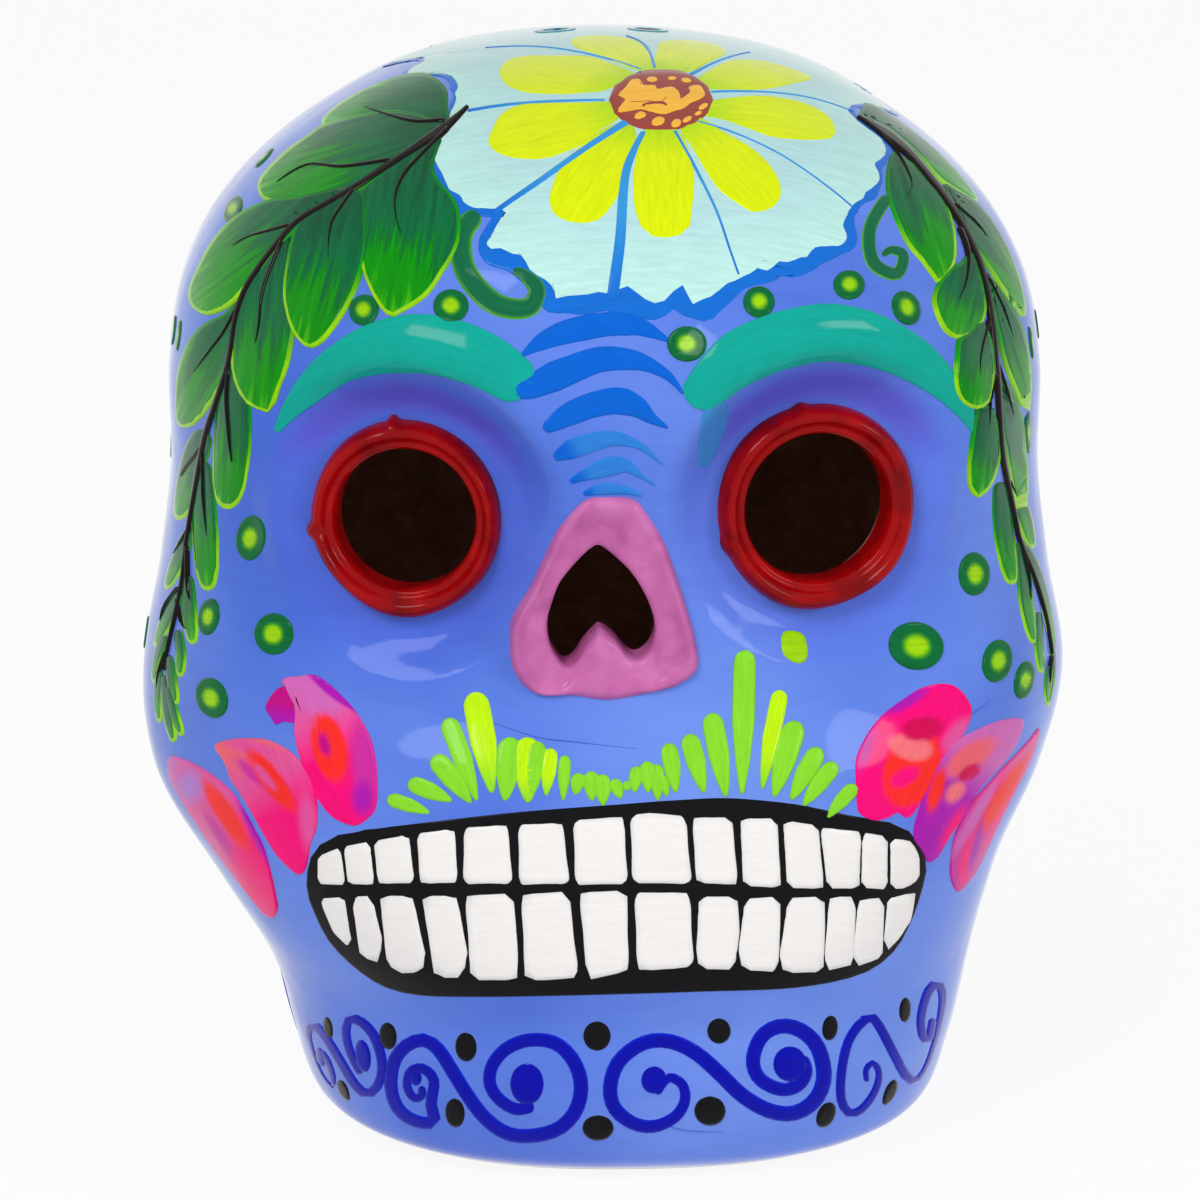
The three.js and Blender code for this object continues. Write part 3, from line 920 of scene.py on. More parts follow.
# width is one number or (share, width) stops; ends is how far the two ends are rounded, in widths;
# via lays a path of the photograph on from another side
def stroke(path, width, colours, edge=None, canvas="photo", level=1, ends=0.5, closed=False, fine=1, via=None,
           brushed=0):
    width = width if isinstance(width, list) else [(0, width)]
    if via:
        path, canvas, width = fromPhoto(via, path), via, [(a, b * film["unit"]) for a, b in width]
    points = closedUp(np.array(path, float)) if closed else np.array(path, float)
    size = runAlong(points)[-1] * unitOf(canvas) * 1.3, max(w for _, w in width) * unitOf(canvas) * 1.5
    grid = gridFor((film["pitch"] * 0.7 / fine, film["pitch"] / fine), size, film["longest"])
    return {"lay": layStroke, "path": path, "width": width, "colours": colours, "edge": edge,
            "level": level, "canvas": canvas, "ends": ends, "closed": closed, "grid": grid,
            "brushed": brushed, "blotches": ()}


def patch(ring, colours, edge=None, canvas="photo", level=1, middle=None, angular=False, fine=1, via=None,
          grain=None, blotches=(), brushed=0):
    if via:
        ring, canvas = fromPhoto(via, ring), via
        middle = fromPhoto(via, [middle])[0] if middle else None
        grain = fromPhoto(via, grain) if grain else None
        blotches = [(fromPhoto(via, outline), tint, soft) for outline, tint, soft in blotches]
    size = np.ptp(np.array(ring, float), axis=0) * unitOf(canvas) * 1.3
    grid = gridFor((film["pitch"] / fine,) * 2, size, film["most"])
    return {"lay": layPatch, "path": ring, "colours": colours, "edge": edge, "canvas": canvas, "level": level,
            "grid": grid, "middle": middle, "angular": angular, "grain": grain, "brushed": brushed,
            "blotches": blotches}


def roundCorners(ring, radius, steps=4):
    ring = np.array(ring, float)
    t = np.linspace(0, 1, steps, endpoint=False)[:, None]
    out = []
    for index, corner in enumerate(ring):
        before, after = ring[index - 1] - corner, ring[(index + 1) % len(ring)] - corner
        start = corner + before * min(0.45, radius / np.linalg.norm(before))
        end = corner + after * min(0.45, radius / np.linalg.norm(after))
        curve = start * (1 - t) ** 2 + 2 * corner * t * (1 - t) + end * t**2
        out += [tuple(point) for point in curve] + [tuple(end)]
    return out


def oval(centre, radius, tall=None, lean=0.0, points=10):
    angles = np.linspace(0, 2 * math.pi, points, endpoint=False)
    x, y = radius * np.cos(angles), (tall or radius) * np.sin(angles)
    c, s = math.cos(math.radians(lean)), math.sin(math.radians(lean))
    return [(centre[0] + a * c - b * s, centre[1] + a * s + b * c) for a, b in zip(x, y)]


# Both give for each point: its place, its share along, its place among the brush lines, its depth inside
# the edge, its nearness to the edge
def layStroke(mark, gridX, gridY):
    closed = mark["closed"]
    share = ((gridX if closed else crowd(gridX)) + 1) / 2
    across = crowd(gridY)
    count = max(36, mark["grid"][0] * 3)
    path, length = smoothPath(mark["path"], count, closed)
    stations = np.linspace(0, 1, count + 1)
    heading = np.gradient(path, axis=0)
    if closed:
        heading[0] = heading[-1] = path[1] - path[-2]
    ahead = unitRows(between(share, stations, unitRows(heading)))
    sideways = np.stack([-ahead[:, 1], ahead[:, 0]], -1)
    width = spread(mark["width"], share)
    if not closed:
        reach = np.minimum(share, 1 - share) * length / np.maximum(width * mark["ends"], 1e-6)
        width = width * np.sqrt(np.clip(1 - (1 - np.clip(reach, 0, 1)) ** 2, 0, 1))
    place = between(share, stations, path) + sideways * column(across * width / 2)
    inside = (1 - np.abs(across)) * width / 2
    if not closed:
        inside = np.minimum(inside, (1 - np.abs(crowd(gridX))) * length / 2)
    return place, share, np.stack([share * length, across * width / 2], -1), inside, np.abs(across)


def layPatch(mark, gridX, gridY):
    x, y = crowd(gridX), crowd(gridY)
    discX, discY = x * np.sqrt(1 - y * y / 2), y * np.sqrt(1 - x * x / 2)
    radius = np.clip(np.hypot(discX, discY), 0, 1)
    divide = evenly if mark["angular"] else smoothRing
    ring = divide(np.array(mark["path"], float), max(48, mark["grid"][0] * 6))
    middle = ring.mean(0) if mark["middle"] is None else np.array(mark["middle"], float)
    edgeAt = ringAt(ring, np.arctan2(discY, discX), middle)
    place = middle + column(radius) * (edgeAt - middle)
    edgeTree = KDTree(len(ring))
    for index, spot in enumerate(ring.tolist()):
        edgeTree.insert((*spot, 0), index)
    edgeTree.balance()
    nearest = np.array([edgeTree.find((*spot, 0))[2] for spot in place.tolist()])
    inside = np.minimum((1 - radius) * np.linalg.norm(edgeAt - middle, axis=1), nearest)
    if mark["grain"] is None:
        return place, radius, place - middle, inside, radius
    start, end = np.array(mark["grain"], float)  # colours and brush lines run along the grain
    run = np.linalg.norm(end - start)
    ahead = (end - start) / run
    along = (place - start) @ ahead
    aside = (place - start) @ [-ahead[1], ahead[0]]
    return place, along / run, np.stack([along, aside], -1), inside, radius


plates = {}


def plateGrid(x, y):  # a flat closed plate, made once for each number of divisions
    if (x, y) not in plates:
        bm = bmesh.new()
        bmesh.ops.create_grid(bm, x_segments=x, y_segments=y, size=1)
        raised = bmesh.ops.extrude_face_region(bm, geom=bm.faces[:], use_keep_orig=True)["geom"]
        for vert in [g for g in raised if isinstance(g, bmesh.types.BMVert)]:
            vert.co.z = 1
        mesh = bpy.data.meshes.new("plate")
        bm.to_mesh(mesh)
        bm.free()
        plates[x, y] = (mesh, meshPoints(mesh))
    return plates[x, y]


# What each point of the paint carries: its colour, with the share of the leaf ramp as its alpha, its place
# among the brush lines, and its share along the mark
paintMaps = {
    "tint": ("FLOAT_COLOR", "color", 4), "stroke": ("FLOAT_VECTOR", "vector", 3),
    "share": ("FLOAT", "value", 1),
}


def setMap(mesh, key, values):
    kind, field, _ = paintMaps[key]
    held = mesh.attributes.get(key) or mesh.attributes.new(key, kind, "POINT")
    held.data.foreach_set(field, np.ascontiguousarray(values, np.float32).ravel())


def blend(tint, other, amount):
    return tint * (1 - column(amount)) + np.array(other) * column(amount)


def tintsOf(mark, place, along, rim):
    tint = spread(mark["colours"], along)
    for outline, blotchColour, soft in mark["blotches"]:  # colours worked in wet, with soft edges; one mauve blotch on a cheek petal is a painted highlight
        middle = np.mean(outline, axis=0)
        arm = place - middle
        rimAt = ringAt(np.array(outline, float), np.arctan2(arm[:, 1], arm[:, 0]), middle) - middle
        share = np.linalg.norm(arm, axis=1) / np.linalg.norm(rimAt, axis=1)
        tint = blend(tint, blotchColour, 1 - smoothStep(share, 1 - soft, 1 + soft))
    if mark["edge"] is not None:
        edgeColour, edgeWidth = mark["edge"]
        tint = blend(tint, edgeColour, smoothStep(rim, 1 - edgeWidth, 1))
    tint[:, 3] = mark["brushed"]
    return tint


def paintPiece(name, paint, marks):
    bm = bmesh.new()
    maps = {key: [] for key in paintMaps}
    for order, mark in enumerate(marks):
        mesh, flat = plateGrid(*mark["grid"])
        unit = unitOf(mark["canvas"])
        place, along, lines, inside, rim = mark["lay"](mark, flat[:, 0], flat[:, 1])
        spots = keepInside(place) if mark["canvas"] == "photo" else place
        hits, normals = castOnSkin(*rays(mark["canvas"], spots))
        top = film["thick"] + film["layer"] * mark["level"] + film["order"] * order
        raised = (top + film["sink"]) * smoothStep(inside * unit, 0, film["bevel"]) ** 0.5 - film["sink"]
        height = np.where(flat[:, 2] > 0.5, raised, -film["bury"])
        setMeshPoints(mesh, toFrame(hits + normals * column(height)))
        bm.from_mesh(mesh)
        maps["tint"].append(tintsOf(mark, place, along, rim))
        maps["stroke"].append(np.column_stack([lines * unit, np.full(len(along), order * film["apart"])]))
        maps["share"].append(along)
    bmesh.ops.recalc_face_normals(bm, faces=bm.faces[:])
    piece = objectFrom(bm, name, [paints[paint]])
    for key, values in maps.items():
        setMap(piece.data, key, np.concatenate(values))
    finishSmooth(piece, 70)
    print(name, len(marks), "marks", len(piece.data.vertices), "points")
    return keepPiece(piece, "glazed_shell")


def pierce(piece, tool):  # cuts through paint and keeps its colours
    old = piece.data
    before = {key: readAll(old.attributes[key].data, field, size, np.float32)
              for key, (_, field, size) in paintMaps.items()}
    places = meshPoints(old)
    cutWith(piece, tool)
    near = [int(((places - point) ** 2).sum(1).argmin()) for point in meshPoints(piece.data)]
    for key, values in before.items():
        setMap(piece.data, key, values[near])
    finishSmooth(piece, 70)


leafRamp = {  # how far the brush lines pull the colours, and the colours from a leaf's root to its tip
    "along": 0.56, "pull": 0.6,
    "stops": [(0.2, colour(0, 78, 46)), (0.38, colour(2, 94, 56)), (0.56, colour(3, 110, 62)),
        (0.62, colour(4, 118, 36)), (0.68, colour(2, 144, 6)), (0.81, colour(6, 150, 0)),
        (0.89, colour(66, 176, 4))],
}


def readMap(tree, key):
    return addNode(tree, "ShaderNodeAttribute", attribute_name=key).outputs


def makePaintMaterial(name, streakShare, streakScale=(0.3, 2.6, 1.0), roughness=0.5):
    material, tree, shader = newMaterial(name)
    tint, lines = (readMap(tree, key) for key in ("tint", "stroke"))
    streaks = streaksOn(tree, lines["Vector"], streakScale, 4, 0.6, 0.2)
    shades = [(0.3, grey(1 - streakShare * 1.6)), (0.7, grey(1 + streakShare))]
    base = tint["Color"]
    if name == "leafPaint":  # along a leaf the colours run into each other as brush lines
        pulled = mathOn(tree, "MULTIPLY", streaks, leafRamp["pull"])
        along = mathOn(tree, "MULTIPLY_ADD", readMap(tree, "share")["Fac"], leafRamp["along"], pulled)
        base = mixOn(tree, tint["Alpha"], base, rampOn(tree, along, leafRamp["stops"]))
    base = mixOn(tree, 1.0, base, rampOn(tree, streaks, shades), "MULTIPLY")
    glaze(tree, shader, base, [bumpOf(tree, placeOn(tree), swell), (streaks, 0.1, 0.0001)], roughness)
    return material


streakShares = {"flower": 0.06, "line": 0.12, "tooth": 0.02, "petal": 0.05}
paints = {name: makePaintMaterial(name + "Paint", share) for name, share in streakShares.items()}
paints["leaf"] = makePaintMaterial("leafPaint", 0.1, (0.12, 1.6, 1.0))


# How a brush stroke's width runs along it, as shares of its full width
profiles = {
    "scroll": [(0, 0.6), (0.2, 1), (0.7, 1.1), (1, 0.9)], "vein": [(0, 1), (0.5, 0.9), (1, 0.35)],
    "curl": [(0, 0.9), (0.5, 1), (0.85, 0.8), (1, 0.4)], "crack": [(0, 0.5), (0.5, 1), (1, 0.4)],
    # smear: the width of the painted highlight beside the bridge
    "lobe": [(0, 0.7), (0.25, 0.94), (0.6, 1), (0.85, 0.86), (1, 0.5)], "bridgeHighlight": [(0, 1), (1, 0.5)],
    "blade": [(0, 0.2), (0.22, 0.66), (0.5, 1), (0.85, 1), (1, 0.9)],
}


# The flower on the forehead and crown

flower = {
    "lemonStops": [(0.3, colour(222, 240, 0)), (1, colour(222, 240, 0))],
    "lime": colour(168, 222, 18), "disc": colour(182, 224, 226),
    "discEdge": colour(190, 236, 228), "line": colour(18, 110, 212), "paleLine": colour(52, 152, 222),
    "brown": colour(158, 70, 58), "orange": colour(252, 190, 64),
    "petals": [
        [(608, 90), (589, 93), (561, 95), (526, 93), (506, 85), (499, 74), (506, 63), (523, 58), (554, 57),
         (589, 58), (614, 66), (636, 76)],
        [(612, 104), (583, 104), (545, 104), (517, 107), (500, 117), (492, 131), (488, 144), (501, 155),
         (526, 160), (551, 158), (580, 146), (598, 132), (620, 118)],
        [(622, 124), (598, 133), (576, 151), (558, 172), (550, 197), (553, 213), (567, 222), (586, 224),
         (601, 219), (615, 201), (624, 179), (630, 157), (636, 132)],
        [(645, 130), (636, 157), (633, 179), (634, 204), (639, 222), (647, 235), (664, 239), (680, 236),
         (689, 229), (691, 213), (694, 191), (693, 169), (687, 147), (678, 130)],
        [(680, 128), (692, 148), (704, 169), (720, 191), (739, 205), (754, 213), (772, 208), (780, 197),
         (779, 182), (767, 163), (748, 147), (723, 133), (698, 118)],
        [(708, 104), (733, 99), (764, 97), (795, 102), (820, 112), (833, 124), (834, 137), (820, 140),
         (795, 140), (770, 137), (748, 129), (726, 121), (704, 116)],
        [(696, 82), (711, 71), (733, 62), (761, 62), (789, 69), (812, 79), (789, 85), (761, 90), (733, 90),
         (708, 89)],
        [(654, 72), (656, 54), (661, 43), (679, 39), (701, 39), (720, 45), (725, 54), (708, 63), (687, 73)],
        [(634, 70), (614, 62), (595, 54), (576, 48), (571, 40), (583, 35), (608, 35), (633, 40), (645, 49),
         (653, 62), (651, 74)],
    ],
    "lines": [
        [(628, 122), (598, 141), (545, 178), (492, 215), 10, 6],
        [(644, 132), (626, 172), (620, 241), (612, 301), 6, 11],
        [(674, 131), (697, 172), (717, 213), (729, 248), (739, 276), 5, 3],
        [(696, 122), (732, 133), (776, 153), (820, 182), (858, 213), 4, 3],
        [(710, 93), (764, 93), (811, 99), (854, 113), 5, 3], [(690, 76), (711, 65), (751, 51), 6, 3],
        [(655, 70), (645, 46), (626, 33), 5, 4],
        [(642, 71), (608, 60), (561, 50), (523, 47), (484, 48), 5, 3],
        [(606, 101), (561, 102), (514, 105), (467, 112), 4, 6],
    ],
    # the orange of the centre as it was dabbed on: outline and a place inside
    "dabs": [
        [[(627, 85), (632, 80), (641, 80), (642, 85), (655, 86), (658, 90), (664, 88), (671, 87), (678, 91),
         (681, 97), (682, 104), (684, 111), (676, 113), (669, 116), (661, 117), (653, 115), (648, 114),
         (640, 112), (628, 114), (621, 116), (615, 112), (620, 107), (623, 102), (625, 99), (618, 98),
         (617, 95), (623, 90)], (648, 101)],
        [[(672, 104), (680, 100), (689, 93), (687, 89), (693, 86), (700, 86), (704, 91), (706, 97),
         (700, 102), (690, 106), (684, 111), (674, 112)], (692, 98)],
        [[(646, 119), (638, 122), (633, 120), (633, 117), (636, 114), (641, 112), (648, 115)], (640, 117)],
    ],
    "seeds": [(652, 81, 7, 3.6, 0), (672, 80, 5.7, 2.8, 0), (686, 82, 6.5, 3.4, 8), (703, 108, 6.5, 3.5, -30),
        (698, 115, 5, 3, -25), (687, 121, 6.5, 3.5, -30), (676, 125, 6.5, 5, -25), (658, 123, 8.3, 5.4, -15)],
    "curls": [
        [(629, 104), (641, 104), (647, 103), (657, 104), (663, 103), (667, 97), 2.2],
        [(642, 110), (644, 107), (652, 105), (662, 105), (668, 108), 4.2],
    ],
    "eye": (647, 108, 3.2, 1.8, 0),
    "edge": [(448, 77), (451, 108), (430, 153), (446, 186), (461, 208), (501, 215), (485, 232), (484, 251),
        (513, 263), (527, 275), (546, 289), (551, 301), (582, 305), (606, 298), (613, 300), (650, 306),
        (662, 306), (672, 302), (680, 296), (690, 313), (697, 311), (704, 303), (709, 316), (740, 280),
        (771, 277), (783, 264), (791, 273), (812, 258), (835, 249), (850, 244), (852, 215), (878, 187),
        (881, 167), (888, 146), (853, 115)],
    "behind": [(27, 14), (31, 20), (27, 25), (29, 32), (22, 36), (21, 42), (13, 42), (9, 47), (2, 44),
        (-5, 47), (-9, 41), (-17, 40), (-18, 33), (-23, 29), (-19, 23), (-21, 17)],
    "middle": (5, 4), "vent": colour(0, 138, 158), "ventCut": -6, "centre": (661, 101, 53, 32),
    "lineEnds": 1.25, "lineMiddle": 0.62, "lowPart": (6, 22),
    "innerEdge": (-0.25, -0.3, 0.3, 0.35, 2.0, (31, 57, 83)),
    "outerEdge": (0.35, 0.5, 0.35, 0, 5.0, (13, 29, 47)), "ventRing": 1.8, "ventPaint": 1.1,
}


def paintFlower():
    edge = smoothRing([tuple(point) for point in fromPhoto("crown", flower["edge"])] + flower["behind"], 300)
    low = smoothStep(-edge[:, 1], *flower["lowPart"])  # the edge is painted widest over the brow
    inner, outer = (raggedRing(edge, flower[key], low) for key in ("innerEdge", "outerEdge"))
    onCrown = {"canvas": "crown", "middle": flower["middle"], "angular": True}
    discTints = [(0, flower["disc"]), (0.7, flower["disc"]), (1, flower["discEdge"])]
    disc = paintPiece("flowerDisc", "flower", [patch(outer, flower["line"], **onCrown),
                                               patch(inner, discTints, level=2, **onCrown)])
    vents = []
    for across in (-1, 1):
        pierce(disc, ventTool(across, flower["ventCut"]))
        centre = onto("crown", [ventPlace(across)])[0]
        ring = oval(centre, flower["ventRing"], flower["ventRing"] * math.sin(math.radians(62)), 0, 12)
        vents.append(stroke(ring, flower["ventPaint"], flower["vent"], canvas="crown", level=4, closed=True))
    paintPiece("ventRings", "flower", vents)

    petals, lines = [], []
    for ring in flower["petals"]:
        root = (np.array(ring[0]) + ring[-1]) / 2
        tip = root + (np.mean(ring, axis=0) - root) * 2
        petals.append(patch(offsetRing(ring, 1.0), [(-0.1, flower["lime"]), *flower["lemonStops"]], level=3,
                            via="crown", grain=[tuple(root), tuple(tip)], fine=1.4))
    lineTints = [(0, flower["paleLine"]), (0.6, flower["paleLine"]), (1, flower["line"])]
    for *path, start, end in flower["lines"]:
        widths = [(0, start * flower["lineEnds"]), (0.3, (start + end) * flower["lineMiddle"]),
                  (1, end * flower["lineEnds"])]
        lines.append(stroke(path, widths, lineTints, level=4, via="crown"))
    paintPiece("flowerPetals", "flower", petals)
    paintPiece("flowerLines", "flower", lines)

    x, y, wide, tall = flower["centre"]
    centre = [patch(oval((x, y), wide, tall), flower["brown"], level=5)]
    for ring, inside in flower["dabs"]:
        centre.append(patch(ring, flower["orange"], level=6, middle=inside, fine=4))
    for x, y, wide, tall, lean in flower["seeds"]:
        centre.append(patch(oval((x, y), wide, tall, lean), flower["orange"], level=6, fine=3))
    for *path, width in flower["curls"]:
        centre.append(stroke(path, width, flower["brown"], level=8, fine=2))
    x, y, wide, tall, lean = flower["eye"]
    centre.append(patch(oval((x, y), wide, tall, lean), flower["orange"], level=9))
    paintPiece("flowerCentre", "flower", centre)


# Leaf sprays, curls and dots

leaf = {
    "teal": colour(2, 104, 72),
    "greens": [colour(2, 110, 40), colour(8, 158, 8), colour(150, 214, 10), colour(150, 214, 10)],
    "bigStops": (0, 0.45, 0.75, 1), "smallStops": (0, 0.45, 0.72, 1), "vein": colour(22, 14, 12),
    "dotGreens": [colour(158, 214, 8), colour(158, 214, 8), colour(60, 160, 20), colour(3, 106, 54),
        colour(3, 106, 54)],
    "dotStops": (0, 0.34, 0.46, 0.58, 1), "rimOut": 1.5, "rimIn": 1.3,
    "spineWidths": [(0, 4), (0.06, 11), (0.12, 8), (0.35, 7), (0.7, 5), (1, 2)], "curl": colour(14, 106, 68),
    "curlLight": colour(96, 184, 44),
    "leftSpine": [(469, 107), (444, 130), (419, 147), (389, 167), (355, 189), (329, 204), (299, 222),
        (279, 244), (262, 266), (247, 289), (237, 318), (230, 361), (217, 403), (206, 436), (195, 496),
        (188, 538), (182, 588), (169, 647), (165, 671)],
    "rightSpine": [(856, 117), (878, 130), (906, 152), (930, 180), (948, 204), (967, 236), (982, 275),
        (991, 323), (996, 373), (998, 403), (1001, 449), (1006, 479), (1014, 518), (1019, 541), (1035, 582),
        (1046, 621), (1052, 655)],
    "leftBig": [
        [[(446, 132), (447, 105), (445, 88), (432, 77), (418, 74), (394, 78), (369, 87), (344, 100),
         (329, 112), (323, 121), (325, 128), (350, 140), (400, 148)], (448, 112), (325, 122)],
        [[(446, 128), (400, 112), (350, 118), (322, 127), (309, 136), (289, 150), (272, 166), (261, 179),
         (259, 189), (264, 199), (276, 202), (296, 200), (330, 200), (370, 185), (420, 155)], (440, 130),
         (260, 192)],
        [[(352, 190), (325, 192), (296, 198), (274, 200), (259, 205), (240, 215), (225, 228), (212, 244),
         (200, 266), (191, 286), (190, 297), (195, 308), (207, 314), (222, 310), (237, 299), (258, 275),
         (290, 238)], (340, 195), (195, 306)],
        [[(258, 282), (240, 300), (224, 315), (209, 322), (195, 334), (185, 351), (176, 376), (173, 398),
         (172, 413), (176, 423), (185, 427), (197, 422), (208, 408), (224, 380), (240, 330)], (256, 290),
         (179, 424)],
        [[(440, 138), (434, 160), (434, 172), (441, 185), (452, 197), (459, 214), (459, 239), (452, 257),
         (441, 274), (431, 290), (418, 302), (404, 310), (392, 316), (381, 307), (371, 289), (364, 271),
         (361, 249), (360, 224), (358, 196), (385, 172)], (420, 150), (390, 313)],
        [[(362, 192), (366, 224), (366, 250), (361, 274), (354, 294), (342, 316), (329, 334), (319, 344),
         (310, 347), (302, 342), (294, 331), (288, 314), (285, 294), (287, 269), (292, 244), (300, 224),
         (330, 202)], (350, 200), (309, 344)],
        [[(292, 226), (290, 256), (288, 281), (290, 306), (294, 328), (292, 344), (287, 368), (279, 388),
         (274, 405), (270, 412), (264, 409), (254, 407), (244, 398), (236, 381), (233, 356), (236, 318),
         (256, 270)], (285, 240), (266, 410)],
    ],
    "leftLobes": [
        [(232, 362), (233, 430), (227, 507), 36], [(205, 430), (190, 470), (177, 518), 27],
        [(190, 530), (178, 560), (165, 588), 15], [(201, 460), (205, 530), (208, 589), 25],
        [(180, 592), (166, 620), (153, 646), 14], [(188, 575), (190, 615), (193, 643), 14],
        [(166, 635), (156, 658), (152, 683), 10], [(178, 630), (181, 655), (180, 676), 10],
        [(169, 655), (172, 680), (176, 704), 10], [(160, 670), (157, 700), (159, 722), 10],
        [(164, 675), (168, 712), (174, 741), 10], [(168, 685), (175, 715), (182, 735), 9],
    ],
    "rightBig": [
        [[(861, 117), (869, 101), (885, 103), (911, 117), (938, 140), (962, 166), (977, 187), (980, 197),
         (973, 200), (957, 192), (938, 179), (922, 160), (903, 142), (885, 128)], (862, 112), (979, 198)],
        [[(944, 184), (957, 192), (976, 202), (994, 219), (1009, 241), (1020, 267), (1026, 291), (1027, 310),
         (1023, 316), (1013, 307), (1000, 286), (984, 262), (970, 241), (960, 219), (949, 200)], (948, 190),
         (1024, 315)],
        [[(986, 273), (1000, 291), (1012, 310), (1023, 332), (1029, 358), (1031, 380), (1030, 401),
         (1028, 412), (1023, 408), (1014, 388), (1006, 369), (1000, 348), (994, 321), (989, 297)], (988, 280),
         (1028, 411)],
        [[(894, 151), (903, 158), (917, 168), (930, 182), (944, 198), (953, 225), (955, 241), (954, 262),
         (944, 278), (937, 282), (925, 265), (909, 246), (898, 225), (890, 203), (887, 187), (888, 168)],
         (893, 155), (938, 282)],
        [[(953, 267), (962, 262), (971, 252), (980, 276), (984, 294), (984, 316), (976, 329), (960, 338),
         (946, 332), (937, 316), (933, 300), (937, 286), (944, 276)], (972, 256), (955, 337)],
        [[(958, 340), (968, 333), (980, 322), (989, 337), (993, 364), (992, 385), (988, 401), (978, 408),
         (965, 404), (957, 393), (954, 377), (956, 356)], (982, 324), (973, 407)],
        [[(976, 409), (984, 405), (992, 409), (997, 428), (1000, 449), (997, 468), (989, 487), (978, 497),
         (970, 489), (968, 468), (970, 447), (973, 428)], (986, 407), (977, 496)],
        [[(998, 372), (1010, 388), (1020, 415), (1025, 449), (1027, 482), (1025, 508), (1020, 521),
         (1013, 498), (1008, 471), (1002, 441), (998, 407)], (1000, 378), (1021, 520)],
    ],
    "rightLobes": [
        [(1000, 482), (1004, 535), (1012, 583), 19], [(1010, 478), (1024, 515), (1033, 547), 16],
        [(1021, 540), (1026, 600), (1034, 642), 14], [(1022, 545), (1045, 590), (1059, 655), 15],
        [(1038, 612), (1039, 645), (1041, 672), 9], [(1053, 640), (1058, 672), (1054, 706), 10],
        [(1050, 665), (1048, 690), (1052, 707), 8],
    ],
    "leftVeins": [
        [(446, 121), (419, 123), (394, 118), (364, 108), 5],
        [(392, 161), (344, 168), (309, 166), (277, 184), 5],
        [(450, 128), (424, 154), (404, 177), (396, 199), (397, 219), (403, 237), 5.5],
        [(355, 190), (342, 209), (333, 224), (330, 244), (330, 264), 5],
        [(292, 226), (270, 232), (250, 238), (233, 248), 5],
        [(284, 240), (270, 274), (263, 299), (261, 324), (257, 345), 5],
        [(239, 307), (225, 333), (210, 353), (195, 373), 4],
        [(230, 368), (228, 398), (230, 428), (233, 462), 4], [(203, 446), (191, 462), (181, 477), 4],
        [(204, 450), (205, 496), (208, 536), 3], [(190, 528), (180, 545), (173, 554), 2.5],
        [(188, 545), (189, 586), (192, 602), 4], [(180, 586), (166, 606), (160, 622), 3],
        [(178, 598), (182, 622), (188, 630), 3], [(168, 650), (160, 672), (157, 690), 2.5],
    ],
    "rightVeins": [
        [(872, 128), (893, 149), (906, 171), (911, 188), (899, 206), 3],
        [(958, 227), (967, 253), (965, 279), (957, 301), 5],
        [(989, 318), (982, 340), (978, 360), (978, 379), 4], [(995, 373), (989, 400), (988, 428), 3],
        [(952, 204), (974, 223), (989, 241), 3], [(984, 273), (1002, 310), (1015, 350), 3],
        [(996, 362), (1006, 394), (1014, 424), 3], [(1008, 479), (1011, 488), (1016, 498), 3],
        [(1019, 541), (1027, 575), (1030, 600), 3], [(1052, 655), (1049, 668), (1050, 684), 3],
    ],
    "dots": [(233, 209, 9, 15, 24), (174, 333, 5, 18, 6), (364, 310, 15, 16, 30), (451, 306, 18, 17, 0),
        (251, 538, 15, 23, 8), (209, 617, 11, 19, 10), (274, 634, 20, 21, 0), (212, 698, 16, 21, -20),
        (759, 302, 16, 16, 0), (687, 344, 20, 18, 0), (849, 285, 16, 15, 0), (906, 308, 14, 18, -24),
        (974, 574, 16, 22, 0), (1029, 432, 5, 22, -2), (1036, 340, 4, 20, -8), (916, 646, 28, 24, 12),
        (997, 661, 15, 22, 12), (1024, 680, 10, 20, 12), (262, 155, 5, 14, 40), (1012, 305, 3, 14, -20)],
    "curls": [
        [(478, 212), (462, 236), (466, 272), (494, 303), (527, 308), (537, 290), (524, 275), (512, 271), 24],
        [(888, 196), (870, 228), (873, 262), (896, 274), (903, 256), (891, 250), (882, 256), 15],
    ],
    "dab": [(783, 632), (803, 634), (808, 655), (799, 664), (783, 654)],
}


def bigLobe(ring, root, tip, level):
    outer, inner = offsetRing(ring, leaf["rimOut"]), offsetRing(ring, -leaf["rimIn"])
    shared = {"grain": [root, tip], "fine": 3, "middle": heartOf(inner)}
    return [patch(outer, list(zip(leaf["bigStops"], leaf["greens"])), level=level, **shared),
            patch(inner, leaf["teal"], level=level + 1, brushed=1, **shared)]


def lobe(root, bend, tip, width, canvas="photo"):
    root, bend, tip = (np.array(point, float) for point in (root, bend, tip))
    ahead = (tip - bend) / np.linalg.norm(tip - bend)
    rim = width * 0.04 + (1.0 if canvas == "photo" else 0.1)
    shared = {"canvas": canvas, "ends": 0.45, "fine": 1.5}
    outer, inner = (taper(size, profiles["lobe"]) for size in (width + rim * 1.5, width))
    tints = list(zip(leaf["smallStops"], leaf["greens"]))
    return [stroke([root, bend, tip + ahead * rim], outer, tints, level=1, **shared),
            stroke([root, bend, tip - ahead * rim], inner, leaf["teal"], level=2, brushed=1, **shared)]


def dotMark(x, y, wide, tall, lean, canvas="photo"):
    tints = list(zip(leaf["dotStops"], leaf["dotGreens"]))
    return patch(oval((x, y), wide, tall, lean, 12), tints, canvas=canvas, level=3, fine=4)


